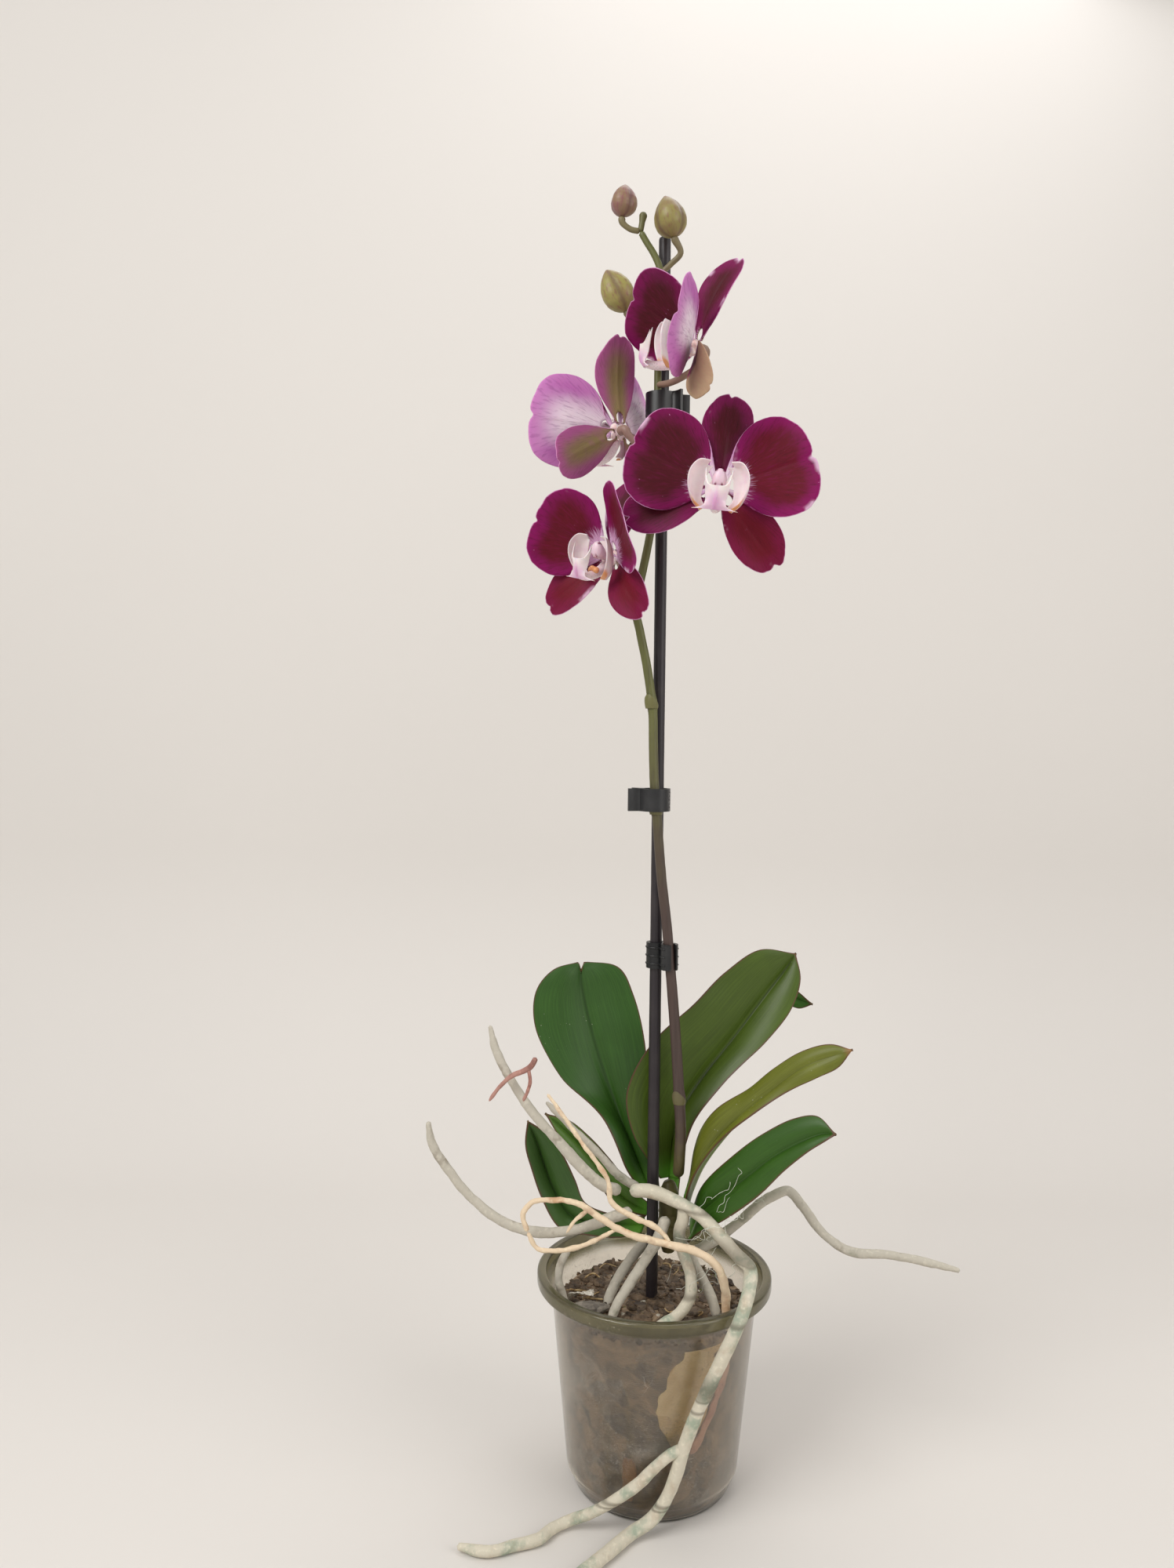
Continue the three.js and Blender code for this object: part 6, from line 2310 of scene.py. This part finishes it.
FRONT_ROOT = Root(
    "root_front",
    lines=(
        ([(-13.5, -10, 152), (-3, -11.5, 152.5), (9, -13, 148.5), (22, -19, 143), (31, -28, 136.5),
          (39, -36, 130), (43.5, -41.5, 127), (42.5, -48, 121), (38.5, -54, 111), (33, -56, 99),
          (27, -55, 85), (22, -54, 73), (16.6, -53, 59), (12, -52, 45), (7.5, -51, 28), (3, -50, 17),
          (-3, -50.5, 9), (-12, -53, 4.4), (-24, -66, 3.6), (-36, -80, 3.5), (-48, -95, 3.5),
          (-57, -109, 3.4)], 3.3, 3.1),
        ([(12, -52, 45), (5, -51.5, 41), (-1, -50.5, 35), (-9, -49.5, 26), (-20.5, -48.5, 17),
          (-31, -47, 10), (-43, -45, 4.2), (-50, -49, 3.2), (-56, -56, 3.1), (-67, -60.5, 3.1),
          (-79, -65, 3.1), (-94, -61, 2.8)], 2.7, 2.6),
        ([(14, -14.5, 147), (13.5, -15, 140), (11.5, -16, 133), (13.5, -18, 124), (17, -22, 114),
          (16, -27, 105), (8, -33, 98), (-1, -36, 95.6)], 3.1, 2.9),
    ),
    slot="green_root", uneven=0.35,
)
DRIED_ROOT = Root(
    "root_dried",
    lines=(
        ([(-64, -23.5, 136), (-66.5, -22, 144), (-62, -21.5, 150), (-52, -23, 152), (-40, -25, 151.5),
          (-28, -27.5, 145), (-15, -29.5, 138.5), (4, -31, 134), (19, -33, 131), (29, -34, 124),
          (33, -33, 112), (33.5, -32, 102), (33.5, -32, 92)], 1.2, 2.3),
        ([(-64, -23.5, 136), (-59, -24, 128), (-45, -26, 128.5), (-31, -28, 134),
          (-20, -29, 140.5)], 1.1, 1.1),
        ([(-34, -26.5, 149), (-41, -27, 143), (-45, -27, 137)], 1.0, 0.7),
        ([(-55, -18.5, 203.5), (-47, -22.5, 194), (-38, -25, 182), (-30, -27, 172), (-24.5, -27.5, 163),
          (-23, -28, 153.5), (-13, -29.3, 147), (0, -30, 141), (6, -31, 134.5)], 0.9, 1.5),
    ),
    slot="dried_root", uneven=0.9, sides=16,
)
TWIG = Root(
    "withered_twig",
    lines=(
        ([(-60.5, -22.5, 223), (-63.5, -22, 218), (-66.5, -21.5, 216), (-73, -21, 213), (-79, -20.5, 207),
          (-84, -20, 200)], 1.4, 0.9),
        ([(-64.5, -22, 217.5), (-63.5, -22, 211), (-65, -21.5, 205), (-67, -21, 200.5)], 1.0, 0.8),
    ),
    slot="twig", uneven=0.4, sides=16,
)


# ---- Stage ----


@dataclass
class Studio:
    """A plain pale floor that curves up behind, soft lights and the camera."""

    paper: Colour = rgb(221, 217, 212)
    camera_at: tuple[float, float, float] = (-37, -596, 380)
    pitch: float = 2.2
    roll: float = 0.6
    lens: float = 27.0
    wall: float = 620
    sweep: float = 260
    sky: float = 0.42
    lights: tuple[tuple[tuple[float, float, float], float, float, Colour], ...] = (
        ((-900, -900, 1300), 900, 17.0, (1.0, 0.985, 0.965)),
        ((1000, -700, 800), 900, 6.5, (1.0, 0.97, 0.94)),
        ((200, 380, 1300), 700, 3.2, (0.98, 0.98, 1.0)),
    )

    def backdrop(self) -> None:
        """Build the floor and the wall behind it as one sheet."""
        bend = [(y, 0.0) for y in (-1600, -800, 0, self.wall - self.sweep)]
        bend += [(self.wall - self.sweep + self.sweep * math.sin(a), self.sweep - self.sweep * math.cos(a))
            for a in np.linspace(0.1, math.pi / 2, 14)]
        bend += [(self.wall, z) for z in (600, 1200, 2400)]
        vertices = [(x, y, z) for y, z in bend for x in (-2600, 2600)]
        faces = [(2 * k, 2 * k + 1, 2 * k + 3, 2 * k + 2) for k in range(len(bend) - 1)]
        sheet = new_object("backdrop", np.array(vertices), faces)
        for face in sheet.data.polygons:
            face.use_smooth = True
        paint = Paint("backdrop_paper")
        mottle = paint.noise(3, 2)
        sheet.data.materials.append(paint.finish(paint.mix(mottle, self.paper, shade(self.paper, 0.97)),
            Roughness=0.95))

    def light(self) -> None:
        """Hang the lights and set the sky."""
        world = bpy.data.worlds.new("soft_room")
        world.use_nodes = True
        world.node_tree.nodes["Background"].inputs[0].default_value = (1.0, 0.985, 0.97, 1)
        world.node_tree.nodes["Background"].inputs[1].default_value = self.sky
        bpy.context.scene.world = world
        for k, (place, size, power, colour) in enumerate(self.lights):
            lamp = bpy.data.lights.new(f"softbox_{k}", "AREA")
            lamp.shape, lamp.size, lamp.energy, lamp.color = "SQUARE", size * MM, power, colour
            holder = bpy.data.objects.new(f"softbox_{k}", lamp)
            at = Vector(place) * MM
            aim = (Vector((0, 0, 300)) * MM - at).to_track_quat("-Z", "Y")
            holder.matrix_world = Matrix.Translation(at) @ aim.to_matrix().to_4x4()
            bpy.context.scene.collection.objects.link(holder)

    def camera(self) -> None:
        """Stand the camera in front of the plant."""
        p, r = math.radians(self.pitch), math.radians(self.roll)
        ahead, up = Vector((0, math.cos(p), -math.sin(p))), Vector((0, math.sin(p), math.cos(p)))
        right = Vector((1, 0, 0)) * math.cos(r) + up * math.sin(r)
        over = -Vector((1, 0, 0)) * math.sin(r) + up * math.cos(r)
        rows = [[right[k], over[k], -ahead[k], self.camera_at[k] * MM] for k in range(3)]
        lens = bpy.data.cameras.new("camera")
        lens.lens, lens.sensor_width, lens.sensor_fit, lens.clip_end = self.lens, 36, "AUTO", 20
        holder = bpy.data.objects.new("camera", lens)
        holder.matrix_world = Matrix([*rows, [0, 0, 0, 1]])
        bpy.context.scene.collection.objects.link(holder)
        bpy.context.scene.camera = holder

    def build(self) -> None:
        """Set up everything round the plant."""
        self.backdrop()
        self.light()
        self.camera()
        bpy.context.scene.view_settings.view_transform = "Standard"


def main() -> None:
    """Build the plant in order and report each piece."""
    logging.basicConfig(level=logging.INFO, format="%(message)s")
    Studio().build()
    shop = Workshop()
    Pot().build()
    Medium().build(shop)
    TopDressing().build()
    LOG.info("pot, medium and top dressing")
    Stake().build()
    Clips().build(shop)
    LOG.info("stake and clips")
    Crown().build()
    for leaf in LEAVES:
        leaf.build()
        LOG.info("leaf %s", leaf.node)
    lip_skin = LipSkin().make()
    for flower in FLOWERS:
        flower.build(shop, lip_skin)
        LOG.info("flower %s", flower.kind)
    SPIKE.build(shop, FLOWERS, BUDS)
    for bud in BUDS:
        bud.build()
    LOG.info("spike and buds")
    grey = RootSkin("root_grey", rgb(190, 184, 170), rgb(140, 140, 120)).make()
    green = RootSkin("root_green", rgb(208, 201, 182), rgb(160, 170, 150), rgb(176, 150, 122), 0.5, 0.35,
        True).make()
    tan = RootSkin("root_tan", rgb(226, 204, 174), rgb(206, 168, 132), rgb(160, 120, 92), 0.3, 0.5).make()
    pink = RootSkin("twig_skin", rgb(178, 134, 122), rgb(146, 96, 86), rgb(104, 70, 60), 0.4, 0.5).make()
    for k, root in enumerate(GREY_ROOTS):
        root.seed = 1.0 + k
        root.build(shop, grey)
        LOG.info("root %s", root.node)
    FRONT_ROOT.build(shop, green)
    DRIED_ROOT.build(shop, tan)
    TWIG.build(shop, pink)
    LOG.info("front root, dried root and twig")


if __name__ == "__main__":
    main()
